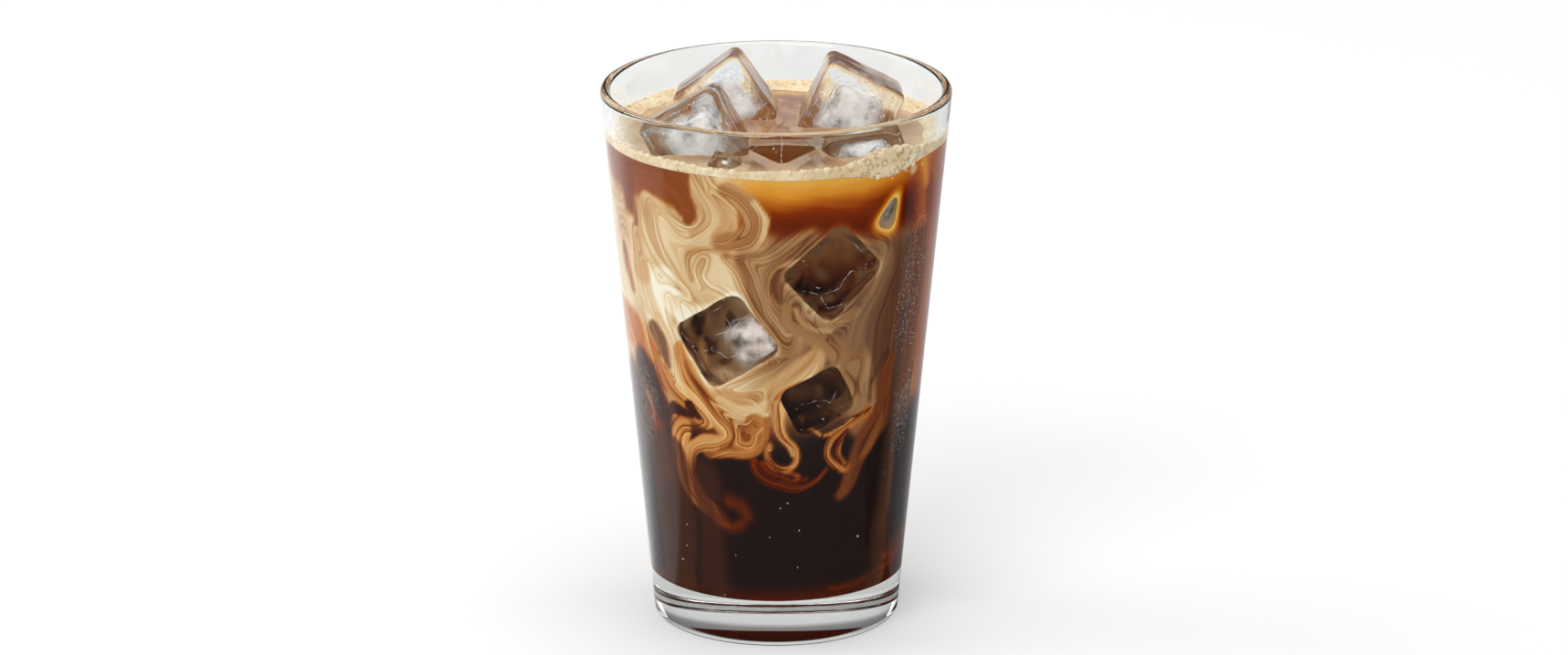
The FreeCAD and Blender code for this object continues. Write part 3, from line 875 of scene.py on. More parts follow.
# Painted in this order, each over the ones before it. Each stroke's fifth number is how much of it is painted as light
# glowing through thin coffee.
STROKES = (
    # thin coffee under the foam, gold at the top and brown below, glowing through
    Stroke(((58, 124), (61, 117), (63, 110), (65, 102)), (7, 6), (0.60, 0.42), 0.0, 1.0, 5, 0.9),
    Stroke(((61, 124), (64, 118)), (3, 3), (0.90, 0.74), 0.0, 1.0, 3, 0.8),
    Stroke(((78, 122), (82, 100), (80, 78), (78, 66)), (15, 12), (0.44, 0.46), 0.0, 0.95, 7, 0.9),
    Stroke(((-74, 122), (-56, 121.5), (-42, 121), (-35, 121)), (13, 10), (0.40, 0.44), 0.1, 0.62, 3),
    Stroke(((-64, 122), (-63, 113), (-62, 105)), (7, 3), (0.36, 0.36), 0.0, 0.7, 3),
    # the cream that falls from the upper left
    Stroke(((-52, 115), (-52.5, 110), (-50, 104), (-45, 99), (-38, 95)), (5, 9), (0.90, 0.84), 0.0, 0.0, 1.0),
    Stroke(((-49, 113), (-46, 107), (-41, 101), (-34, 96), (-27, 92)), (8, 15), (0.86, 0.74), 0.0, 0.0, 1.6),
    Stroke(((-45, 113.5), (-38, 109), (-32, 107), (-27, 109)), (5, 5), (0.86, 0.78), 0.0, 0.0, 1.4),
    Stroke(((-88, 103), (-84, 94), (-76, 88)), (16, 12), (0.90, 0.92), 0.0, 0.0, 3),
    Stroke(((-62, 97), (-57, 92), (-53, 86)), (14, 10), (0.90, 0.94), 0.0, 0.0, 3),
    Stroke(((-64, 107), (-61, 101), (-60, 96)), (6, 7), (0.80, 0.84), 0.0, 0.1, 3),
    Stroke(((-72, 100), (-69, 94), (-67, 89)), (3, 2), (0.62, 0.56), 0.1, 0.5, 2),
    Stroke(((-47, 95), (-43, 91), (-37, 88), (-30, 88)), (8, 6), (0.92, 1.0), 0.0, 0.0, 2),
    Stroke(((-30, 103), (-22, 101), (-15, 96), (-10, 90), (-4, 84)), (7, 7), (0.72, 0.78), 0.0, 0.0, 2.4),
    # folds that turn under the dark finger and rise to the foam
    Stroke(((-28, 109), (-24.5, 112), (-24, 116), (-27, 120), (-31, 125)), (5, 5), (0.70, 0.84), 0.0, 0.0, 1.2),
    Stroke(((-20, 109), (-18, 114), (-20, 119), (-25, 125)), (5, 5), (0.66, 0.80), 0.0, 0.1, 1.2),
    Stroke(((-18, 107.5), (-11, 109), (-8, 113), (-10, 118), (-17, 122)), (6.5, 5), (0.58, 0.52), 0.12, 0.1, 1.4),
    Stroke(((-8, 119), (-3.6, 115), (-4, 110), (-8, 106.5), (-16, 105.6)), (1.5, 1.5), (0.66, 0.76), 0.0, 0.0, 0.9),
    Stroke(((-36, 124), (-35, 119), (-32.5, 115), (-33, 113)), (8, 2.6), (0.42, 0.38), 0.1, 0.5, 0.8),
    Stroke(((-43, 121), (-38, 118), (-35, 115)), (5, 3), (0.42, 0.40), 0.1, 0.5, 1.2),
    # the tan folds between the sunk cubes
    Stroke(((-4, 108.4), (-12, 106), (-20, 105.6), (-28, 106), (-33, 104), (-34.4, 101), (-33, 97)),
           (1.2, 0.9), (0.52, 0.60), 0.0, 0.0, 0.8, 0.8),
    Stroke(((-10, 104), (-6, 99), (-4.6, 94), (-3, 89), (1, 84), (5, 81)), (7, 6), (0.58, 0.44), 0.3, 0.0, 2.2),
    Stroke(((13, 110), (8, 108.4), (2, 105), (-4, 100), (-5, 94), (-2, 88)), (4, 4), (0.50, 0.58), 0.35, 0.0, 3, 0.9),
    Stroke(((30, 107.6), (20, 108.6), (10, 107.6), (0, 105.5)), (3, 5), (0.34, 0.46), 0.5, 0.1, 6, 0.6),
    Stroke(((10, 104.6), (4, 103.6), (0, 101.6), (-2.2, 98.4), (-2.6, 95), (-1.4, 92), (1.6, 90.4)),
           (1.4, 1.6), (0.66, 0.62), 0.2, 0.0, 0.8),
    Stroke(((3, 100.5), (0.5, 97), (2, 93)), (4.4, 2.4), (0.44, 0.36), 0.4, 0.0, 1),
    # the shaded folds at the right
    Stroke(((56, 100), (57, 90), (54, 78), (52, 68)), (14, 18), (0.40, 0.30), 0.75, 0.1, 7.0),
    Stroke(((30, 76), (36, 66), (40, 60)), (10, 12), (0.58, 0.46), 0.5, 0.0, 3),
    Stroke(((66, 104), (66, 92), (63, 78), (61, 66)), (7, 6), (0.34, 0.26), 0.3, 0.4, 4),
    Stroke(((42, 105), (44, 101), (41, 95), (35, 88), (31, 80), (28, 72)), (4, 7), (0.48, 0.56), 0.7, 0.0, 2.6),
    Stroke(((30, 107.5), (36, 106.2), (41.4, 104.2), (41.2, 101), (38, 96), (34, 92)), (1.3, 1.1), (0.60, 0.56), 0.6, 0.0, 1.4,
           0.8),
    Stroke(((12, 91), (18, 86.5), (24, 86), (31, 89)), (3.5, 3), (0.56, 0.62), 0.45, 0.0, 1.6),
    Stroke(((4, 90), (6.5, 86.5), (12, 83.5), (18, 81), (25, 78.5), (29, 74), (29, 66)), (5, 6), (0.50, 0.60), 0.35, 0.0, 2),
    Stroke(((7.5, 90), (10, 86.6), (15, 84.6), (21, 84)), (1.2, 1.4), (0.74, 0.68), 0.3, 0.0, 1),
    Stroke(((33, 74), (32, 68), (34, 63.5)), (8, 6), (0.60, 0.50), 0.4, 0.0, 2.4),
    Stroke(((44, 84), (42, 74), (40, 65)), (1.4, 1), (0.36, 0.30), 0.6, 0.0, 1.4),
    Stroke(((48, 76), (48, 68), (46, 62)), (2, 1.4), (0.22, 0.24), 0.5, 0.2, 1.4),
    # painted glow and brown at the lower left
    Stroke(((-92, 80), (-76, 79), (-64, 76), (-53, 70)), (12, 9), (0.62, 0.66), 0.0, 1.0, 3),
    Stroke(((-54, 81), (-50, 77), (-49, 72)), (4.4, 4), (0.44, 0.38), 0.45, 0.0, 1.2),
    Stroke(((-62, 79), (-58, 73)), (5, 4), (0.72, 0.62), 0.0, 0.85, 1.6),
    Stroke(((-62, 87), (-56, 84.6), (-49, 84.4), (-46.5, 86)), (1.6, 1.4), (0.86, 0.92), 0.0, 0.0, 0.8),
    Stroke(((-51, 85), (-45.5, 80.5), (-43, 76), (-43.2, 71.5), (-44, 69)), (2.6, 2.0), (0.82, 0.90), 0.0, 0.05, 0.7),
    Stroke(((-44.2, 70.6), (-43.6, 68.6)), (2.6, 2.2), (0.84, 0.92), 0.0, 0.0, 0.7),
    Stroke(((-63, 84), (-60, 77), (-58, 71.5)), (1.6, 1.0), (0.80, 0.84), 0.0, 0.1, 0.8),
    # the cream between the left cube and the dark coffee
    Stroke(((-26, 67), (-17, 65.5), (-8, 66), (0, 69.5), (8, 73.5), (14, 77)), (7, 6), (0.68, 0.76), 0.0, 0.12, 1.4),
    Stroke(((-23, 64.5), (-15, 63.4), (-7, 63.4), (-3, 64.6)), (5, 5), (0.84, 0.78), 0.0, 0.12, 1.0),
    Stroke(((-7.6, 63), (-6.4, 60.8), (-6.3, 59.2)), (4.4, 1.4), (0.86, 0.82), 0.0, 0.0, 0.7),
    Stroke(((14, 80), (10, 76), (4, 72.4), (-1, 68.5), (-2, 64)), (1.4, 0.9), (0.60, 0.66), 0.0, 0.0, 0.9),
    # caramel that folds back and trails down into the coffee
    Stroke(((-52, 72), (-47, 68), (-41, 64.5), (-35, 62), (-31, 59.5)), (4.5, 5), (0.68, 0.56), 0.0, 0.5, 0.9),
    Stroke(((-43, 57.6), (-44, 52), (-43.5, 46), (-40.5, 40.6), (-34, 36.8), (-27, 35)), (7, 3), (0.56, 0.70), 0.0, 0.55, 1.2),
    Stroke(((-4, 60), (-4.6, 56.6), (-8, 53.4), (-14, 52), (-22, 52), (-30, 51)), (3.4, 3), (0.56, 0.46), 0.0, 0.5, 1.0),
    Stroke(((-8, 60.5), (-9.4, 57), (-12, 54.6), (-18, 53.8), (-27, 53.4)), (5.5, 5), (0.62, 0.54), 0.0, 0.5, 1.0),
    Stroke(((-40, 78), (-37, 70), (-31.5, 64), (-26, 60.4), (-21.6, 58), (-21, 55.8), (-25, 54.2), (-32, 53.2),
            (-38, 50.5), (-39.5, 46), (-37, 41.6), (-33, 38.4), (-28.5, 36)), (5, 3.4), (0.70, 0.60), 0.0, 0.45, 0.9),
    Stroke(((-36, 74), (-32, 68), (-26, 63.4), (-20, 61), (-16.5, 58), (-17, 54.5), (-22, 52.4)), (3.4, 2.4), (0.66, 0.54),
           0.0, 0.45, 0.8),
    Stroke(((-38, 63.2), (-35.5, 61), (-33.6, 59.6)), (2.6, 1.0), (0.10, 0.14), 0.2, 0.2, 0.7),
    Stroke(((-46, 62), (-41, 61), (-37, 60.6)), (3, 2), (0.12, 0.14), 0.3, 0.2, 0.9),
    # the brown hook at the tendril's end
    Stroke(((-30, 35), (-26, 33), (-22, 32)), (2.6, 1.6), (0.44, 0.30), 0.0, 0.9, 1.8),
    Stroke(((-20, 39.4), (-15, 37.6), (-12.4, 34.8)), (3.4, 2.8), (0.28, 0.34), 0.0, 0.95, 4.0, 0.8),
    Stroke(((-24, 34.6), (-20, 31.6), (-15.6, 32)), (2.2, 3), (0.34, 0.26), 0.0, 0.95, 3.4, 0.8),
    # thin strands in the middle
    Stroke(((9, 70), (4.4, 68.6), (1.6, 66), (1.0, 62.6), (1.8, 59.4), (4.4, 56.4), (7.4, 53.6), (7.8, 51.2), (6, 49.2),
            (2.6, 48.5), (-0.6, 49), (-2.8, 50.4), (-3.4, 52.4), (-1.8, 54.8)), (2.6, 1.5), (0.60, 0.50), 0.0, 0.5, 0.9),
    Stroke(((1.0, 66), (0.3, 62), (1.2, 58.6), (4.6, 55), (6.2, 52)), (1.1, 1.1), (0.76, 0.70), 0.0, 0.3, 0.8),
    Stroke(((9.6, 70.6), (5.4, 67), (3.8, 63.6), (3.4, 60), (5.0, 57.2)), (1.2, 1.1), (0.58, 0.66), 0.0, 0.5, 0.8),
    Stroke(((-8.6, 50), (-7, 46.6), (-1.6, 44), (5.8, 42.7), (12, 43.1), (17.5, 44.6), (22, 46.6)), (2.4, 1.2), (0.30, 0.30),
           0.0, 0.9, 0.9),
    Stroke(((-5, 49.6), (-2.4, 47), (2, 45.4), (7, 44.6), (12, 45.2)), (2.2, 1.4), (0.36, 0.26), 0.0, 0.85, 1.0),
    Stroke(((2.6, 47.4), (6.6, 47), (9, 45.9), (6, 44.6), (2, 45.2)), (1.3, 1.2), (0.60, 0.50), 0.0, 0.7, 0.9),
    # brown veils that hang at the right
    Stroke(((53, 70), (49, 61), (42, 55.6), (37, 50.8), (34, 46.4), (31, 41.5), (28.4, 39.6)), (10, 2.6), (0.36, 0.32), 0.3, 0.3, 1.8),
    Stroke(((40, 62), (33, 59), (28, 57.2), (24, 55.4), (22.2, 53), (22.6, 50), (26, 47.2), (30.4, 45.6), (31.6, 46.6)),
           (3, 1.4), (0.50, 0.44), 0.0, 0.6, 0.8),
    Stroke(((33, 60), (29.6, 56.4), (27.4, 53), (27.4, 50), (29.4, 47.6)), (1.4, 1.0), (0.60, 0.50), 0.0, 0.45, 0.7),
    Stroke(((31, 57.4), (26.6, 54), (25.6, 51), (28, 47.8)), (1.1, 0.9), (0.16, 0.2), 0.0, 0.6, 0.7),
    Stroke(((14.6, 61), (14.8, 58.8), (17.8, 56.8), (22, 56.6), (27, 57.9), (32, 59), (37, 61)), (1.2, 1.3), (0.64, 0.54),
           0.0, 0.5, 0.6),
    # light that reaches the coffee's foot and its left side
    Stroke(((-76, 62), (-66, 52), (-60, 42)), (14, 8), (0.17, 0.13), 0.5, 0.2, 6),
    Stroke(((-60, 56), (-55, 50), (-53, 44)), (7, 5), (0.34, 0.26), 0.0, 0.75, 5),
    Stroke(((-66, 70), (-58, 66), (-52, 60)), (9, 7), (0.16, 0.12), 0.4, 0.2, 3),
    Stroke(((26, 14.6), (42, 15.2), (56, 16.4), (72, 18.5)), (0.8, 2.4), (0.34, 0.34), 0.0, 1.0, 2.6, 0.7),
    Stroke(((58, 19.6), (66, 20.4), (76, 21.6)), (0.8, 1.2), (0.46, 0.46), 0.0, 1.0, 1.6, 0.7),
    Stroke(((60, 19), (70, 20), (80, 22)), (6, 8), (0.18, 0.22), 0.0, 0.9, 6),
    Stroke(((-53, 46), (-52, 30), (-52, 15)), (16, 16), (0.20, 0.20), 0.55, 0.1, 1.4, 0.8),
    Stroke(((-33, 44), (-32, 30), (-31, 14)), (10, 10), (0.20, 0.12), 0.4, 0.1, 6, 0.8),
    Stroke(((58, 88), (57, 66), (55, 40), (53, 10)), (2, 9), (0.36, 0.14), 0.8, 0.0, 3.0, 0.8),
)

# Lines of flow; the fine folds run along them.
FLOWS = (
    ((-36, 122.5), (-32, 119), (-29.5, 115.5), (-30.2, 113), (-33, 112), (-38, 113), (-44, 115.2), (-50, 117),
     (-54, 116), (-56, 112), (-55.5, 107), (-52.5, 102), (-47, 98), (-41, 95.5), (-36, 93.5)),
    ((-50, 114), (-48.5, 108), (-46, 103), (-41, 98.5), (-35, 95), (-30, 91.5), (-28, 88.5)),
    ((-42, 111), (-38, 108), (-33, 107), (-28, 109), (-24, 112), (-23.5, 116), (-26, 120), (-30, 124.5)),
    ((-18, 124), (-10, 121.5), (-5, 117), (-4, 112), (-7, 107.5), (-13, 106), (-20, 106), (-27, 106), (-32, 104),
     (-34, 101), (-33, 98), (-31, 95)),
    ((-22, 121), (-16, 117), (-13, 112.5), (-17, 109), (-24, 107.6)),
    ((-19, 104), (-14.5, 101), (-10.5, 96.5), (-7.5, 91.5), (-3.5, 87), (0.5, 83.5), (4, 80.5)),
    ((-11, 103.5), (-7.5, 99), (-5, 94), (-4, 89), (-0.5, 85.5), (3, 82)),
    ((-27, 103), (-29, 99), (-26, 96), (-21, 95), (-14, 92), (-9, 87), (-4, 81), (0, 77.5)),
    ((26, 113), (14, 109), (4, 103.6), (0, 101.5), (-2.4, 98.4), (-2.7, 95.4), (-1.6, 92), (1.6, 90)),
    ((28, 109), (35, 107), (41, 105), (41.6, 102), (38.5, 97.5), (34.5, 93), (28.5, 88.6), (22, 86.4)),
    ((47, 110), (52, 104.5), (49, 97), (45, 90), (41.5, 82.5), (39.5, 74.5), (39, 67)),
    ((38.5, 109.5), (46, 106), (45, 100), (41, 94), (35.5, 88), (31.5, 81), (29, 74), (28, 67)),
    ((62, 108), (61, 96), (56, 84), (52, 72), (47, 61), (41, 55), (36, 49), (32, 42)),
    ((5, 89.5), (6.5, 87), (10.5, 85), (15, 82.5), (20, 81), (25, 79), (28.5, 75)),
    ((10, 83), (8.6, 80), (6.5, 77.6), (2, 76), (-4, 74), (-12, 71.6), (-20, 69)),
    ((16, 81), (12, 77.5), (7.5, 74.5), (3, 71), (-1, 67.6), (-3, 64), (-5, 61)),
    ((-39, 91), (-37.8, 84.5), (-36, 79), (-32.5, 73.5), (-27.5, 69.5), (-21, 67), (-12, 66), (-6, 64)),
    ((-45, 91), (-43.6, 84), (-41, 78), (-37.5, 71), (-32, 65), (-26, 61), (-21.4, 58.6), (-20.6, 56), (-24.6, 54.2),
     (-32, 53.2), (-37.6, 50.8), (-39.6, 46.4), (-37.6, 42), (-33, 38.4), (-27, 35.4)),
    ((-56, 98), (-53, 90), (-48, 83), (-43.4, 77), (-43, 70)),
    ((-62, 104), (-62, 92), (-58, 82), (-52, 72), (-45, 66.4), (-36, 62.6), (-31, 59.4), (-34, 57), (-42, 56.4),
     (-45.4, 53), (-45, 46.4), (-41.6, 40), (-35, 36), (-27, 33.6)),
    ((-4, 61), (-4.4, 57), (-7.6, 53.6), (-14, 52), (-22, 51.6), (-29, 49.6), (-31.6, 46), (-31.4, 41.6), (-28, 38)),
    ((5, 69.6), (1.6, 66), (1.0, 62.6), (1.8, 59.4), (4.4, 56.4), (7.4, 53.6), (7.8, 51.2), (6, 49.2), (2.6, 48.5),
     (-0.6, 49), (-3, 51)),
    ((-8.6, 50), (-7, 46.6), (-1.6, 44), (5.8, 42.7), (12, 43.1), (17.5, 44.6), (22, 46.6)),
    ((44, 64), (36, 60), (28, 57.2), (24, 55.4), (22.2, 53), (22.6, 50), (26, 47.2), (30.4, 45.6)),
    ((-70, 120), (-50, 121), (-40, 121)),
    ((-4, 121), (14, 118.5), (34, 116), (56, 114)),
)
DEGREE = 0.65  # mm round the wall for one degree, near enough at every height


class Route:
    """A smooth line along the wall, and how points lie to it."""

    def __init__(self, path: tuple, steps: int = 5) -> None:
        """Lays the line through its path's stops, in degrees and millimetres."""
        line = through_points(np.array(path, dtype=float), steps)
        self.middle = (line[:, 0].max() + line[:, 0].min()) / 2
        self.line = (line - (self.middle, 0)) * (DEGREE, 1)

    def spots(self, angle: np.ndarray, height: np.ndarray) -> np.ndarray:
        """Returns places beside the line, in millimetres, for angles and heights."""
        return np.stack([((angle - self.middle + 180) % 360 - 180) * DEGREE, height], -1)

    def within(self, spots: np.ndarray, reach: float) -> np.ndarray:
        """Returns the numbers of the spots that may lie within a reach of the line."""
        low, high = self.line.min(0) - reach, self.line.max(0) + reach
        return np.nonzero(((spots > low) & (spots < high)).all(1))[0]

    def measure(self, spots: np.ndarray) -> tuple[np.ndarray, np.ndarray, np.ndarray]:
        """Returns how far spots lie across the line, from it, and along it.

        Args:
            spots: places beside the line.

        Returns:
            The signed distance across, the distance, and the share of the way along.
        """
        start, step = self.line[:-1], self.line[1:] - self.line[:-1]
        length = np.hypot(step[:, 0], step[:, 1]) + 1e-9
        best = np.empty(len(spots), dtype=int)
        share, distance, across = (np.empty(len(spots)) for _ in range(3))
        for first in range(0, len(spots), 20000):
            part = slice(first, first + 20000)
            offset = spots[part, None, :] - start[None]
            raw = (offset * step).sum(2) / length ** 2
            held = np.clip(raw, 0, 1)
            gap = offset - held[..., None] * step
            far = np.hypot(gap[..., 0], gap[..., 1])
            pick = far.argmin(1)
            row = np.arange(len(pick))
            turn = (step[pick, 0] * offset[row, pick, 1] - step[pick, 1] * offset[row, pick, 0]) / length[pick]
            loose = ((pick == 0) & (raw[row, pick] < 0)) | ((pick == len(step) - 1) & (raw[row, pick] > 1))
            best[part], share[part], distance[part] = pick, held[row, pick], far[row, pick]
            across[part] = np.where(loose, turn, np.sign(turn) * far[row, pick])
        return across, distance, (best + share) / len(step)


class Swirl:
    """How milk and coffee lie over the drink: the numbers its finish reads."""

    names = ("milk", "tone", "amber", "vein", "fold")

    def __init__(self, form: TumblerForm) -> None:
        """Places the strokes and the flows, once at the front and once more round the back."""
        self.form = form
        self.strokes = [stroke.placed(0, 1, 0) for stroke in STROKES]
        self.strokes += [stroke.placed(178, -1, -2.5) for stroke in STROKES]
        self.flows = [Route(path) for path in FLOWS]
        self.flows += [Route(tuple((178 - angle, height - 2.5) for angle, height in path)) for path in FLOWS]

    def at_wall(self, points: np.ndarray) -> np.ndarray:
        """Returns the finish's numbers for points at or near the wall.

        Args:
            points: places in metres.

        Returns:
            A row of milk, tone, painted glow, vein and fold for each point.
        """
        pushed = points + 1.0 * MM * drift(points, 11 * MM, 3.1) + 0.4 * MM * drift(points, 5 * MM, 8.3)
        angle = np.degrees(np.arctan2(pushed[:, 0], -pushed[:, 1]))
        height = pushed[:, 2] / MM
        slow = drift(points, 22 * MM, 5.5)[:, 0]
        turned = np.where(np.abs(angle) > 89, (358 - angle) % 360 - 180, angle)
        # painted shade: towards the right the wall is painted with less milk and a cooler taupe, as its shaded side
        right = smooth((turned + 22) / 40)
        milk = 0.02 + (0.78 - 0.38 * right) * smooth((height - 52 - 5 * slow) / 14)
        milk = milk + 0.12 * slow * smooth((height - 60) / 20) + 0.17 * smooth((17 - height) / 6)
        cool = np.clip(0.10 + 0.50 * right + 0.25 * drift(points, 30 * MM, 11.0)[:, 1], 0, 1)
        cool = cool * smooth((height - 40) / 15)
        # painted glow along the coffee's foot below 17 mm; the milk is raised there too
        amber = smooth((17 - height) / 6)
        # painted glow: thin coffee under the foam, painted gold at the top and deep brown below, dimmer to the right,
        # as light glowing through it
        golden = np.interp(height, (106, 111, 115, 118.5, 121.5, 125), (0.18, 0.19, 0.30, 0.51, 0.76, 0.89))
        golden = golden - 0.20 * smooth((turned - 30) / 26) * smooth((height - 108) / 8)
        thin = smooth((turned + 24) / 18) * smooth((height - 105.5 - 1.5 * slow + 0.03 * (turned - 20)) / 7)
        milk = milk + thin * (golden - milk)
        cool, amber = cool * (1 - thin), np.maximum(amber, thin)
        values = np.stack([milk, cool, amber, np.zeros(len(points)), np.zeros(len(points))], -1)
        for stroke in self.strokes:
            self.lay(stroke, angle, height, values)
        values[:, 3] = self.flow(angle, height)
        milk = values[:, 0]
        shade = 0.46 * smooth((milk - 0.16) / 0.28) * (1 - 0.42 * smooth((milk - 0.5) / 0.5)) * (1 - 0.40 * values[:, 1])
        shade = shade * (1 + 0.7 * smooth(values[:, 2] * 2) * smooth((72 - height) / 8))
        thin = smooth((height - 106) / 8) * smooth(values[:, 2] * 2)
        values[:, 4] = shade * (1 - 0.85 * thin) + 0.012
        return values

    @staticmethod
    def lay(stroke: Stroke, angle: np.ndarray, height: np.ndarray, values: np.ndarray) -> None:
        """Lays one stroke over the values.

        Args:
            stroke: what is laid.
            angle: the points' angles in degrees.
            height: their heights in millimetres.
            values: their numbers, changed in place.
        """
        route = Route(stroke.path)
        spots = route.spots(angle, height)
        near = route.within(spots, max(stroke.width) / 2 + stroke.soft)
        if not len(near):
            return
        across, distance, along = route.measure(spots[near])
        half = (stroke.width[0] + (stroke.width[1] - stroke.width[0]) * along) / 2
        cover = stroke.strength * smooth((half + stroke.soft / 2 - distance) / stroke.soft)
        edge = np.clip(across / half, -1, 1) / 2 + 0.5
        milk = stroke.milk[1] + (stroke.milk[0] - stroke.milk[1]) * edge
        laid = np.stack([milk, np.full(len(near), stroke.tone), np.full(len(near), stroke.amber)], -1)
        values[near, :3] += cover[:, None] * (laid - values[near, :3])

    def flow(self, angle: np.ndarray, height: np.ndarray) -> np.ndarray:
        """Returns a number in millimetres that is constant along the flow.

        Args:
            angle: the points' angles in degrees.
            height: their heights in millimetres.

        Returns:
            One number for each point.
        """
        total = np.full(len(angle), 1e-3)
        summed = 0.3 * height * 1e-3
        for route in self.flows:
            middle = route.line[len(route.line) // 2]
            ahead = route.line[len(route.line) // 2 + 1] - middle
            probe = np.array([middle, middle + np.array([-ahead[1], ahead[0]])])
            beside = self.blend_at(route, probe)
            sign = 1.0 if beside[1] >= beside[0] else -1.0
            route.shift, route.sign = beside[0], sign
            spots = route.spots(angle, height)
            near = route.within(spots, 26)
            across, distance, _ = route.measure(spots[near])
            weight = 1 / (distance + 0.7) ** 3 * smooth((26 - distance) / 12)
            summed[near] += weight * (sign * across + route.shift)
            total[near] += weight
        return summed / total

    def blend_at(self, asker: Route, probe: np.ndarray) -> np.ndarray:
        """Returns the flow number that the routes laid so far give near a route.

        Args:
            asker: the route that asks.
            probe: places beside it.

        Returns:
            One number for each place.
        """
        total, summed = np.full(len(probe), 1e-6), 0.3 * probe[:, 1] * 1e-6
        for route in self.flows[:self.flows.index(asker)]:
            spots = route.spots(probe[:, 0] / DEGREE + asker.middle, probe[:, 1])
            across, distance, _ = route.measure(spots)
            weight = 1 / (distance + 0.7) ** 3
            summed += weight * (route.sign * across + route.shift)
            total += weight
        return summed / total


# ---------------------------------------------------------------- the tumbler


@dataclass
class Tumbler:
    """The glass, turned on a lathe from its half outline."""

    form: TumblerForm
    steps_around: int = 256
    arc_steps: int = 8
    run_steps: int = 10

    def outline(self) -> np.ndarray:
        """Returns the half outline, from the dish under the foot round to the floor's middle."""
        form = self.form
        ball = (form.dish_radius ** 2 + form.dish_depth ** 2) / (2 * form.dish_depth)
        reach = math.asin(form.dish_radius / ball)
        dish = [(ball * math.sin(turn), form.dish_depth - ball + ball * math.cos(turn))
                for turn in np.linspace(0, reach, 12)]
        rest = rounded_outline([
            (form.dish_radius, 0, 0),
            (form.foot_radius, 0, form.heel_round),
            (form.outer(form.height), form.height, form.rim_round),
            (form.bore(form.height), form.height, form.rim_round),
            (form.bore(form.floor), form.floor, form.floor_round),
            (0, form.floor, 0),
        ], self.arc_steps, self.run_steps)
        return np.vstack([dish[:-1], rest])

    def build(self) -> bpy.types.Object:
        """Returns the finished glass."""
        outline = self.outline()
        mesh = bpy.data.meshes.new("tumbler")
        edges = [(index, index + 1) for index in range(len(outline) - 1)]
        mesh.from_pydata([(radius, 0, height) for radius, height in outline], edges, [])
        piece = bpy.data.objects.new("tumbler", mesh)
        bpy.context.scene.collection.objects.link(piece)
        run_tree(piece, lathe_tree(), {
            "Outline Points": len(outline), "Steps Around": self.steps_around, "Weld": 0.002 * MM,
            "Finish": GlassFinish().material(),
        })
        face_outwards(piece)
        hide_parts("glass")
        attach(piece, "root")
        return piece


def face_outwards(piece: bpy.types.Object) -> None:
    """Turns every face of a closed piece outwards."""
    shape = bmesh.new()
    shape.from_mesh(piece.data)
    bmesh.ops.recalc_face_normals(shape, faces=shape.faces)
    shape.to_mesh(piece.data)
    shape.free()


# ---------------------------------------------------------------- the ice


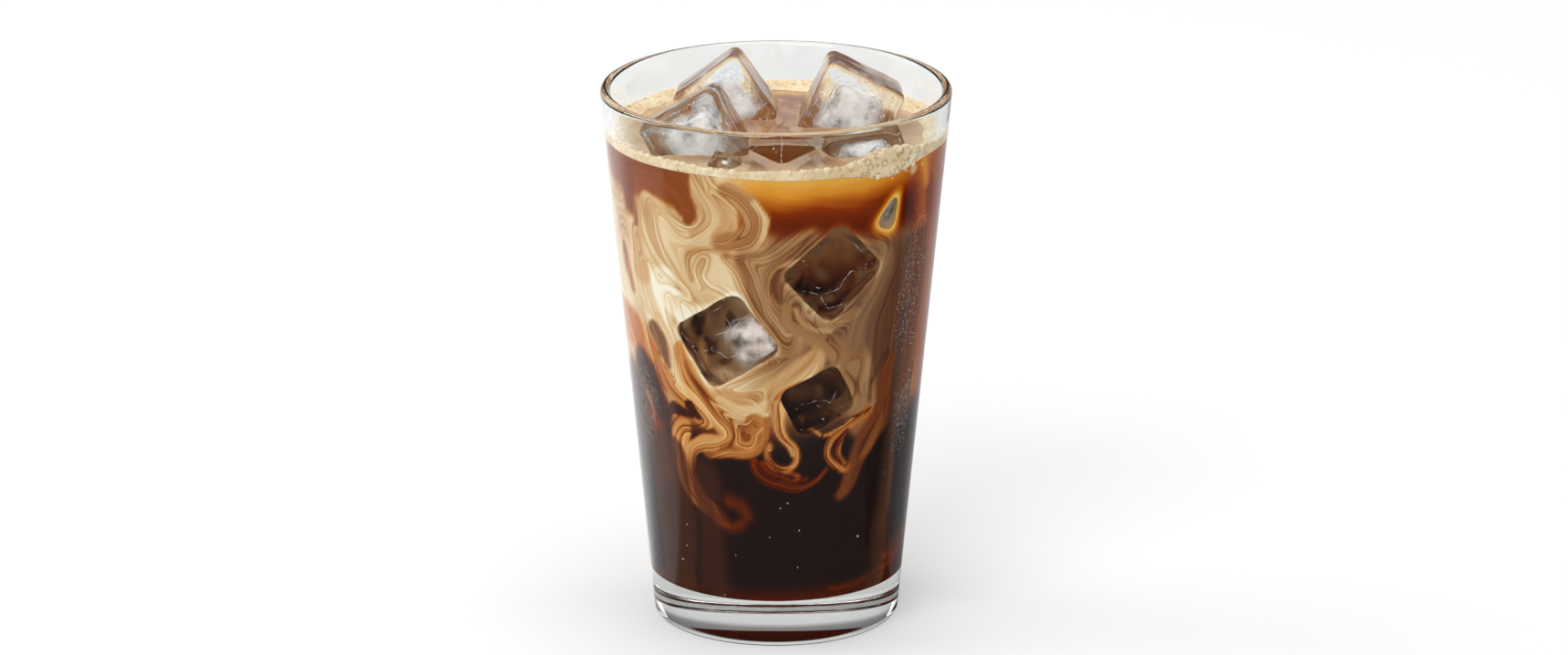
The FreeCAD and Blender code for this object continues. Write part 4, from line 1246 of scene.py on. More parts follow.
@dataclass
class IceBlock:
    """A melted block of ice: where it lies, its size, and its rounding."""

    name: str
    middle: np.ndarray
    axes: np.ndarray  # its own X, Y and Z as columns
    half: np.ndarray
    rounding: float
    seed: float
    melt: float = 0.3 * MM
    grid: int = 30
    taper: float = 0.0  # how much thinner its far end is

    @classmethod
    def measured(cls, node: str, seed: float, grown: float = 1.0, lift: float = 0.0) -> "IceBlock":
        """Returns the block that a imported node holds.

        Args:
            node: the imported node's name.
            seed: shifts its random melting.
            grown: how many times its size it is swollen.
            lift: how far it floats above its node, in metres.

        Returns:
            The block, its axes read from the node's widest flat faces.
        """
        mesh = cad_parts[node].data
        count = len(mesh.polygons)
        normals = np.empty(3 * count)
        areas = np.empty(count)
        mesh.polygons.foreach_get("normal", normals)
        mesh.polygons.foreach_get("area", areas)
        normals = normals.reshape(-1, 3)
        axes: list[np.ndarray] = []
        for _ in range(2):
            weight = areas.copy()
            for axis in axes:
                weight = weight * (np.abs(normals @ axis) < 0.02)
            widest = normals[weight.argmax()]
            axes.append(widest / np.linalg.norm(widest))
        axes.append(np.cross(axes[0], axes[1]))
        turn = np.stack(axes, 1)
        local = node_points(node) @ turn
        low, high = local.min(0), local.max(0)
        flat = [np.abs(local[:, i] - high[i]) < 1e-6 for i in range(3)]
        rounding = min((high[(i + 1) % 3] - local[flat[i]][:, (i + 1) % 3].max()) for i in range(3))
        middle = turn @ ((low + high) / 2) + np.array([0, 0, lift])
        return cls(node, middle, turn, grown * (high - low) / 2, rounding, seed)

    def distance(self, points: np.ndarray) -> np.ndarray:
        """Returns how far points lie outside the block, negative inside it."""
        local = (points - self.middle) @ self.axes
        local[:, :2] /= self.narrowed(local)
        local = np.abs(local) - (self.half - self.rounding)
        outside = np.linalg.norm(np.maximum(local, 0), axis=1)
        return outside + np.minimum(local.max(1), 0) - self.rounding

    def narrowed(self, local: np.ndarray) -> np.ndarray:
        """Returns the block's width at places in its own axes, as a share of its full width."""
        return 1 - self.taper * (np.clip(local[:, 2:] / self.half[2], -1, 1) + 1) / 2

    def surface(self, shrink: float = 0.0) -> tuple[np.ndarray, list]:
        """Returns the corners and faces of the melted block.

        Args:
            shrink: how far its skin is drawn in, in metres.

        Returns:
            The corners in place, and the faces.
        """
        steps = np.linspace(-1, 1, self.grid + 1)
        steps = np.sign(steps) * (1 - (1 - np.abs(steps)) ** 1.5)
        one, two = np.meshgrid(steps, steps, indexing="ij")
        points, faces = [], []
        for axis in range(3):
            for side in (-1, 1):
                face = np.empty((one.size, 3))
                face[:, axis] = side
                face[:, (axis + 1) % 3] = one.ravel()
                face[:, (axis + 2) % 3] = two.ravel()
                start = sum(len(block) for block in points)
                points.append(face)
                faces += [tuple(start + corner for corner in quad)
                          for quad in grid_faces(self.grid + 1, self.grid + 1, False)]
        cube = np.vstack(points)
        half = self.half - shrink
        rounding = self.rounding
        inner = np.clip(cube * half, rounding - half, half - rounding)
        out = cube * half - inner
        skin = inner + rounding * out / np.linalg.norm(out, axis=1)[:, None]
        wave = drift(skin, 9 * MM, self.seed) * self.melt + drift(skin, 3.5 * MM, self.seed + 5) * self.melt * 0.25
        skin = skin - np.abs(wave) * np.sign(skin)
        skin[:, :2] *= self.narrowed(skin)
        return skin @ self.axes.T + self.middle, faces

    def shell(self, name: str, shrink: float = 0.0) -> bpy.types.Object:
        """Returns the block's skin as a closed mesh object."""
        points, faces = self.surface(shrink)
        return new_piece(name, points, faces, 0.001 * MM)


@dataclass
class Ice:
    """All the ice: blocks that stand out of the drink, and blocks sunk against the wall."""

    form: TumblerForm
    proud: list[IceBlock] = field(default_factory=list)
    sunk: list[IceBlock] = field(default_factory=list)

    # how far melted blocks swell and float above their nodes
    floats = {"ice_centre": (1.16, 2.4 * MM), "ice_front_right": (1.06, 1.2 * MM), "ice_chip": (1.2, 0.6 * MM)}
    # angle and height of the middle, half sizes in mm, turn in degrees, reach past the wall in mm, taper
    sunk_places = (
        ("sunk_right", 22.0, 99.8, (10.3, 7.6, 9.5), 43.0, -3.2, 0.0),
        ("sunk_left", -20.4, 81.8, (10.8, 7.6, 9.6), 34.0, -3.4, 0.0),
        ("sunk_middle", 17.5, 66.0, (8.3, 7.0, 7.2), 26.0, -2.8, 0.0),
        ("sunk_sliver", 45.6, 115.4, (3.5, 3.0, 6.8), -22.0, -1.4, 0.70),
    )
    # painted light and shade behind each sunk block: milk from dark to light, the way the light side lies (across, up),
    # tone, patchiness, glow share
    sunk_shades = {
        "sunk_right": (0.22, 0.74, (-0.1, 1.0), 0.30, 0.02, 0.30),
        "sunk_left": (0.50, 1.0, (1.0, -0.1), 0.75, 0.10, 0.0),
        "sunk_middle": (0.16, 0.42, (0.3, 0.9), 1.0, 0.03, 0.0),
        "sunk_sliver": (0.92, 1.0, (0.2, -0.9), 0.0, 0.10, 0.0),
    }
    # painted shade: dark facets painted behind them: across and up as shares of the block, how wide, how much milk is
    # taken off to darken them
    facets = {
        "sunk_right": ((-0.80, 0.50, 0.28, 0.22), (-0.74, 0.00, 0.30, 0.24), (-0.72, -0.55, 0.34, 0.24),
                       (-0.36, -0.78, 0.26, 0.16)),
        "sunk_left": ((-0.76, 0.55, 0.24, 0.38), (-0.78, 0.05, 0.20, 0.36), (-0.80, -0.50, 0.18, 0.26),
                      (-0.08, 0.12, 0.26, 0.42), (0.10, -0.72, 0.24, 0.38)),
    }

    def place(self) -> None:
        """Works out where every block lies."""
        names = [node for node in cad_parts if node.startswith("ice_")]
        self.proud = [IceBlock.measured(node, 3.3 * index + 1, *self.floats.get(node, (1.0, 0.0)))
                      for index, node in enumerate(sorted(names))]
        for index, (name, angle, height, half, turn, inset, taper) in enumerate(self.sunk_places):
            radius = self.form.bore(height * MM) + inset * MM
            middle = around(angle, radius, height * MM)
            out = around(angle, 1.0, 0.0)
            side = around(angle + 90, 1.0, 0.0)
            tilt = math.radians(turn)
            up = np.array([0.0, 0.0, 1.0])
            first = side * math.cos(tilt) + up * math.sin(tilt)
            second = up * math.cos(tilt) - side * math.sin(tilt)
            axes = np.stack([first, out, second], 1)
            sizes = np.array(half) * MM
            rounding = min(3.0 * MM, 0.92 * sizes.min())
            melt = 0.7 * MM if taper == 0 else 0.15 * MM
            self.sunk.append(IceBlock(name, middle, axes, sizes, rounding, 20.0 + 4 * index, melt, taper=taper))

    def build(self) -> list[bpy.types.Object]:
        """Returns every block's visible piece."""
        pieces = []
        for block in self.proud:
            piece = block.shell(block.name.replace("ice_", "block_"))
            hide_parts(block.name)
            pieces.append(piece)
        bore = wall_body(self.form, 0.08 * MM)
        for block in self.sunk:
            piece = block.shell(block.name)
            carve(piece, bore, "INTERSECT")
            pieces.append(piece)
        remove(bore)
        sunk_finish = IceFinish("sunk_ice", 0.2, 1.07, 0.0, tint(250, 242, 247))
        for piece in pieces:
            piece.data.materials.clear()
            finish = sunk_finish if piece.name.startswith("sunk") or piece.name == "block_centre" else IceFinish()
            piece.data.materials.append(finish.material())
            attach(piece, "root")
        return pieces


def wall_body(form: TumblerForm, reach: float) -> bpy.types.Object:
    """Returns a plain closed body of the bore, grown by a reach into the wall."""
    heights = np.array([form.floor, form.height])
    angles = np.arange(0, 360, 1.0)
    rings = [around(angles, form.bore(height) + reach, height) for height in heights]
    count = len(angles)
    faces = grid_faces(2, count, True)
    faces += [tuple(range(count))[::-1], tuple(range(count, 2 * count))]
    return new_piece("bore_body", np.vstack(rings), faces)


# ---------------------------------------------------------------- the drink


@dataclass
class Drink:
    """The swirled drink: one closed body that reaches just into the wall."""

    form: TumblerForm
    ice: Ice
    reach: float = 0.10 * MM
    wall_step: float = 0.59 * MM
    back_step: float = 1.25 * MM
    meniscus: float = 0.45 * MM
    pocket_skin: float = 0.12 * MM

    # painted light: milk, tone and glow share of the drink behind the ice that lies low, painted light where real ice
    # would let light in
    pocket_painted_light = {
        "ice_centre": (0.74, 0.1, 0.45), "ice_front_right": (0.80, 0.2, 0.1), "ice_chip": (0.70, 0.2, 0.1),
        "ice_right": (0.58, 0.2, 0.1), "ice_back_left": (0.58, 0.1, 0.2), "ice_front_left": (0.62, 0.3, 0.0),
    }

    def angles(self) -> np.ndarray:
        """Returns the columns' angles, closer together at the front."""
        radius = self.form.bore((self.form.level + self.form.floor) / 2)
        fine, coarse = (math.degrees(step / radius) for step in (self.wall_step, self.back_step))
        front = np.linspace(-80, 80, round(160 / fine), endpoint=False)
        back = np.linspace(80, 280, round(200 / coarse), endpoint=False)
        return np.concatenate([front, back])

    def rows(self) -> np.ndarray:
        """Returns the rows' radii and heights, from the floor's middle to the surface's middle."""
        form = self.form
        bottom, top = form.floor - self.reach, form.level
        outline = rounded_outline([
            (0, bottom, 0), (form.bore(bottom) + self.reach, bottom, form.floor_round),
            (form.bore(top) + self.reach, top, 0),
        ], 6, round((top - bottom) / self.wall_step))
        radii = (form.bore(top) + self.reach) * (1 - np.linspace(0, 1, 52)[1:] ** 1.15)
        thin = np.concatenate([outline[:1], outline[round((top - bottom) / self.wall_step) - 12:]])
        return np.vstack([thin, np.stack([radii, np.full(len(radii), top)], -1)])

    def build(self) -> bpy.types.Object:
        """Returns the finished drink."""
        rows, angles = self.rows(), self.angles()
        points = around(angles[None, :], rows[:, :1], rows[:, 1:]).reshape(-1, 3)
        top = points[:, 2] > self.form.level - 1e-7
        points[top] += self.ripple(points[top])
        piece = new_piece("drink", points, grid_faces(len(rows), len(angles), True), 0.001 * MM)
        for block in self.ice.proud + self.ice.sunk:
            cutter = block.shell("pocket", self.pocket_skin)
            carve(piece, cutter, "DIFFERENCE")
            remove(cutter)
        self.dress(piece)
        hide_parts("coffee", "milk_coffee")
        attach(piece, "root")
        return piece

    def ripple(self, points: np.ndarray) -> np.ndarray:
        """Returns the upward pull of the surface at the ice, with slight waves."""
        gap = np.min([block.distance(points) for block in self.ice.proud], axis=0)
        inward = self.form.bore(self.form.level) - np.hypot(points[:, 0], points[:, 1])
        lift = self.meniscus * np.exp(-np.maximum(gap, 0) / (0.9 * MM)) * smooth((inward - 4 * MM) / (2 * MM))
        lift += 0.25 * MM * drift(points, 16 * MM, 40.0)[:, 0]
        return np.stack([0 * lift, 0 * lift, lift], -1)

    def dress(self, piece: bpy.types.Object) -> None:
        """Gives the drink its attributes and its finish."""
        points = mesh_points(piece.data)
        values = Swirl(self.form).at_wall(points)
        radius = np.hypot(points[:, 0], points[:, 1])
        depth = self.form.bore(points[:, 2]) + self.reach - radius
        on_top = smooth((points[:, 2] - self.form.level + 1.0 * MM) / (0.5 * MM)) * smooth(depth / (0.5 * MM))
        values += on_top[:, None] * (self.on_surface(points) - values)
        for block in self.ice.sunk:
            gap = np.abs(block.distance(points))
            # painted glow round the thin sliver of ice
            if block.name == "sunk_sliver":
                painted_glow = np.exp(-(gap / (1.9 * MM)) ** 2)[:, None]
                values[:, :3] += painted_glow * ((0.70, 0.0, 1.0) - values[:, :3])
            line = np.exp(-(gap / (0.55 * MM)) ** 2) * (1 - smooth((values[:, 0] - 0.7) / 0.3))
            values[:, 0] += {"sunk_sliver": 0.30, "sunk_middle": 0.06}.get(block.name, 0.20) * line
            # painted light and shade: the walls behind each sunk block take the colours of in_pocket
            inside = smooth((0.5 * MM - gap) / (0.3 * MM)) * smooth(depth / (2.2 * MM))
            values += inside[:, None] * (self.in_pocket(block, points) - values)
        for block in self.ice.proud:
            # painted light: the drink behind the low-lying ice is painted lighter, for light that the ice would let in
            if block.name in self.pocket_painted_light:
                inside = smooth((0.5 * MM - np.abs(block.distance(points))) / (0.3 * MM))
                inside = inside * smooth((self.form.level - points[:, 2] - 0.1 * MM) / (0.3 * MM))
                values[:, :3] += inside[:, None] * (np.array(self.pocket_painted_light[block.name]) - values[:, :3])
        values[:, 4] *= 1 - smooth((self.crowding(piece.data, points, values[:, 3]) - 1.5) / 1.6)
        for index, name in enumerate(Swirl.names):
            give_attribute(piece.data, name, values[:, index])
        give_attribute(piece.data, "open_top", on_top)
        piece.data.materials.clear()
        piece.data.materials.append(DrinkFinish().material())
        piece.data.shade_smooth()

    @staticmethod
    def crowding(mesh: bpy.types.Mesh, points: np.ndarray, vein: np.ndarray) -> np.ndarray:
        """Returns how closely the flow lines crowd at each corner, 1 where they lie evenly.

        Args:
            mesh: the drink's mesh.
            points: its corners in metres.
            vein: the flow's number at each corner, in millimetres.

        Returns:
            The steepest change of the flow's number along the edges at each corner.
        """
        ends = np.empty(2 * len(mesh.edges), dtype=np.int64)
        mesh.edges.foreach_get("vertices", ends)
        one, two = ends.reshape(-1, 2).T
        length = np.linalg.norm(points[one] - points[two], axis=1) / MM
        steep = np.abs(vein[one] - vein[two]) / np.maximum(length, 0.15)
        most = np.zeros(len(points))
        np.maximum.at(most, one, steep)
        np.maximum.at(most, two, steep)
        return most

    def on_surface(self, points: np.ndarray) -> np.ndarray:
        """Returns milk, tone, painted glow and vein for points on the drink's top."""
        slow = drift(points, 15 * MM, 51.0)
        fine = drift(points + 3 * MM * slow, 5 * MM, 52.0)
        gap = np.min([block.distance(points) for block in self.ice.proud], axis=0)
        edge = np.exp(-np.abs(gap) / (0.8 * MM))
        rim = smooth((np.hypot(points[:, 0], points[:, 1]) / self.form.bore(self.form.level) - 0.70) / 0.22)
        behind = smooth(points[:, 1] / (16 * MM)) * (1 - rim)
        milk = 0.56 + 0.10 * slow[:, 0] + 0.06 * fine[:, 1] + 0.22 * rim - 0.16 * behind + 0.10 * edge
        tone = 0.50 + 0.3 * slow[:, 1] - 0.30 * edge - 0.45 * rim - 0.35 * behind
        vein = (points[:, 0] + points[:, 1] * 0.4) / MM + 7 * slow[:, 2]
        return np.stack([milk, np.clip(tone, 0, 1), 0 * milk, vein, 0.10 + 0 * milk], -1)

    def in_pocket(self, block: IceBlock, points: np.ndarray) -> np.ndarray:
        """Returns milk, tone, painted glow and vein for the walls behind a sunk block, painted lighter on its light
        side and darker on the other, with dark facets, as painted light and shade.
        """
        low, high, way, tone, patchy, amber = Ice.sunk_shades[block.name]
        side = around(math.degrees(math.atan2(block.middle[0], -block.middle[1])) + 90, 1.0, 0.0)
        across = (points - block.middle) @ side / block.half.max()
        rise = (points[:, 2] - block.middle[2]) / block.half.max()
        slow, fine = drift(points, 6 * MM, block.seed), drift(points, 2.5 * MM, block.seed + 9)
        light = smooth(0.5 + 0.55 * (across * way[0] + rise * way[1]) + 0.18 * slow[:, 0] + 0.05 * fine[:, 1])
        dark = smooth(0.2 + 2.2 * slow[:, 2] + 0.8 * fine[:, 0]) * (1 - 0.9 * light)
        milk = low + (high - low) * light - patchy * dark
        local = (points - block.middle) @ block.axes / block.half + 0.16 * drift(points, 2 * MM, block.seed + 3)
        for first, second, wide, lack in Ice.facets.get(block.name, ()):
            apart = np.abs(local[:, 0] - first) + np.abs(local[:, 2] - second)
            milk = milk - lack * smooth((1.25 * wide - apart) / (0.45 * wide))
        milk = np.clip(milk, 0, 1)
        return np.stack([milk, tone * (1 - 0.4 * light), amber + 0 * milk, 6 * slow[:, 1], 0.04 + 0 * milk], -1)


# ---------------------------------------------------------------- the foam


@dataclass
class FoamRing:
    """The rim of milk foam on the drink, with its heap at the right."""

    form: TumblerForm
    ice: Ice
    reach: float = 0.16 * MM
    columns: int = 1080
    top_steps: int = 26
    width: float = 3.6 * MM
    width_swing: float = 0.9 * MM  # narrower in front, wider behind
    heap_angle: float = 43.0
    heap_spread: float = 9.0
    heap_rise: float = 2.4 * MM
    heap_drop: float = 2.4 * MM
    climb: float = 1.3 * MM
    bubble: float = 1.5 * MM

    def spread(self, angles: np.ndarray) -> np.ndarray:
        """Returns the ring's width at each angle."""
        turn = np.radians(angles)
        lobes = 0.45 * np.sin(9 * turn + 0.6) + 0.35 * np.sin(17 * turn + 2.0) + 0.2 * np.sin(31 * turn)
        return self.width - self.width_swing * np.cos(turn) + 0.7 * MM * lobes + 2.6 * MM * self.heap(angles, 1.4)

    def heap(self, angles: np.ndarray, stretch: float = 1.0) -> np.ndarray:
        """Returns how much of the heap stands at each angle, from 0 to 1."""
        apart = (angles - self.heap_angle + 180) % 360 - 180
        return np.exp(-0.5 * (apart / (self.heap_spread * stretch)) ** 2)

    def section(self, angles: np.ndarray) -> tuple[np.ndarray, np.ndarray]:
        """Returns radii and heights of the ring's closed section at each angle.

        Args:
            angles: the columns' angles in degrees.

        Returns:
            Radii and heights, a row for each corner of the section.
        """
        form = self.form
        heap = self.heap(angles)
        turn = np.radians(angles)
        waver = 0.25 * np.sin(3 * turn + 1.0) + 0.16 * np.sin(7 * turn) + 0.1 * np.sin(13 * turn + 2.0)
        low_front = 0.8 * MM * np.exp(-0.5 * (angles / 26) ** 2)
        climb = self.climb + self.heap_rise * heap + 0.5 * MM * waver - low_front
        base = form.level - (0.75 + 0.35 * np.sin(5 * turn) * 0.5) * MM - self.heap_drop * heap - 0.6 * low_front
        width = self.spread(angles)
        radii, heights = [], []
        skin = 0.35 * MM
        for share in np.linspace(0, 1, 9)[:-1]:
            height = base + (form.level + climb - base) * share
            radii.append(form.bore(height) + self.reach)
            heights.append(height)
        for share in np.linspace(0, 1, self.top_steps) ** 0.9:
            fall = (1 - share ** 1.7) * climb + skin * np.sqrt(np.maximum(1 - share, 0)) * 1.2
            height = form.level + fall
            radii.append(form.bore(height) + self.reach - width * share)
            heights.append(height)
        for share in np.linspace(0, 1, 7)[1:-1]:
            sink = 0.6 * MM * (1 - share) + (form.level - base) * share ** 2
            radii.append(form.bore(form.level) + self.reach - width * (1 - share))
            heights.append(form.level - np.maximum(sink, 0.3 * MM))
        return np.array(radii), np.array(heights)

    def build(self) -> bpy.types.Object:
        """Returns the finished ring."""
        angles = np.linspace(-180, 180, self.columns, endpoint=False)
        radii, heights = self.section(angles)
        rows = len(radii)
        points = around(angles[None, :], radii, heights).reshape(-1, 3)
        share = np.zeros((rows, self.columns))
        share[8:8 + self.top_steps] = np.sin(np.linspace(0.15, 0.93, self.top_steps) * math.pi)[:, None]
        points += self.bubbles(points) * share.reshape(-1, 1)
        faces = grid_faces(rows, self.columns, True)
        last = (rows - 1) * self.columns
        faces += [(last + column, last + (column + 1) % self.columns, (column + 1) % self.columns, column)
                  for column in range(self.columns)]
        piece = new_piece("foam_ring", points, faces)
        for block in self.ice.proud:
            cutter = block.shell("pocket", 0.15 * MM)
            carve(piece, cutter, "DIFFERENCE")
            remove(cutter)
        points = mesh_points(piece.data)
        angle = np.degrees(np.arctan2(points[:, 0], -points[:, 1]))
        give_attribute(piece.data, "heap", 0.15 + 0.85 * self.heap(angle, 1.7))
        piece.data.materials.clear()
        piece.data.materials.append(FoamFinish().material())
        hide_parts("foam")
        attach(piece, "root")
        return piece

    def bubbles(self, points: np.ndarray) -> np.ndarray:
        """Returns the push of packed bubbles for points on the ring's top."""
        push = np.zeros(len(points))
        angle = np.degrees(np.arctan2(points[:, 0], -points[:, 1]))
        heap = self.heap(angle, 1.5)
        for size, depth, piled, shift in ((self.bubble, 0.10, 0.75, 3.0), (0.5 * self.bubble, 0.16, 0.25, 9.0)):
            near = np.array([noise.voronoi(Vector(point) / size + Vector((shift, 0, 0)))[0][0] for point in points])
            push += (depth + piled * heap) * MM * np.sqrt(np.clip(1 - (near / 0.62) ** 2, 0, 1))
        slow = drift(points, 7 * MM, 60.0)[:, 0] * 0.5 * MM
        return np.stack([0 * push, 0 * push, push + slow - 0.2 * MM], -1)

    def crowd_sheet(self, name: str, low: float, high: float, heap_only: bool) -> bpy.types.Object:
        """Returns a helper surface over the ring's top, with the attribute "crowd".

        Args:
            name: the helper's name.
            low: where across the ring the crowd starts, from the wall 0 to the edge 1.
            high: where it ends.
            heap_only: whether only the heap is crowded.

        Returns:
            The helper object.
        """
        angles = np.linspace(-180, 180, 360, endpoint=False)
        radii, heights = self.section(angles)
        top = slice(8, 8 + self.top_steps)
        points = around(angles[None, :], radii[top], heights[top]).reshape(-1, 3)
        across = np.repeat(np.linspace(0, 1, self.top_steps), len(angles))
        crowd = smooth((across - low) / 0.1) * smooth((high - across) / 0.1)
        angle = np.tile(angles, self.top_steps)
        gap = np.min([block.distance(points) for block in self.ice.proud], axis=0)
        crowd = crowd * (self.heap(angle, 1.3) if heap_only else 1.0) * (gap > 0.8 * MM)
        sheet = new_piece(name, points, grid_faces(self.top_steps, len(angles), True))
        give_attribute(sheet.data, "crowd", crowd)
        return sheet


# ---------------------------------------------------------------- strewn things


@dataclass(frozen=True)
class Strewn:
    """Small round things strewn over a helper surface."""

    name: str
    slot: str
    finish: Finish
    spacing: float  # mm
    density: float  # for each square centimetre
    smallest: float  # mm, radius
    largest: float
    rarity: float  # above 1, large ones are rarer
    thickness: float = 1.0
    sink: float = 0.0
    seed: int = 1
    fineness: int = 2

    def build(self, surface: bpy.types.Object) -> bpy.types.Object:
        """Strews the things over a helper surface, which becomes the piece.

        Args:
            surface: the helper, with the attribute "crowd".

        Returns:
            The finished piece.
        """
        surface.name = surface.data.name = self.name
        run_tree(surface, strewing(), {
            "Spacing": self.spacing * MM, "Density": self.density * 1e4,
            "Smallest": self.smallest * MM, "Largest": self.largest * MM, "Rarity": self.rarity,
            "Thickness": self.thickness, "Sink": self.sink, "Seed": self.seed, "Fineness": self.fineness,
            "Finish": self.finish.material(),
        })
        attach(surface, "root")
        return surface


def strewing() -> bpy.types.NodeTree:
    """Returns the scatter tree, built on first use."""
    return bpy.data.node_groups.get("strewn_on_a_surface") or scatter_tree()


def wall_sheet(name: str, form: TumblerForm, outside: bool, patches: list[tuple]) -> bpy.types.Object:
    """Returns a helper surface along the wall with the attribute "crowd".

    Args:
        name: the helper's name.
        form: the tumbler's sizes.
        outside: whether it follows the outside of the wall, or the bore.
        patches: angle, height, their half spans in degrees and mm, and the crowd there.

    Returns:
        The helper object.
    """
    angles = np.linspace(-180, 180, 360, endpoint=False)
    heights = np.linspace(4 * MM, form.level + 2 * MM, 124)
    radii = form.outer(heights) if outside else form.bore(heights) + 0.05 * MM
    points = around(angles[None, :], radii[:, None], heights[:, None]).reshape(-1, 3)
    angle, height = np.tile(angles, len(heights)), np.repeat(heights, len(angles)) / MM
    crowd = np.zeros(len(points))
    ragged = drift(points, 8 * MM, 71.0)[:, 0]
    for middle, level, wide, tall, amount in patches:
        apart = (angle - middle + 180) % 360 - 180
        reach = np.hypot(apart / wide, (height - level) / tall)
        crowd = np.maximum(crowd, amount * smooth(1.25 - reach + 0.5 * ragged))
    sheet = new_piece(name, points, grid_faces(len(heights), len(angles), True))
    give_attribute(sheet.data, "crowd", crowd)
    return sheet


# ---------------------------------------------------------------- inside the ice


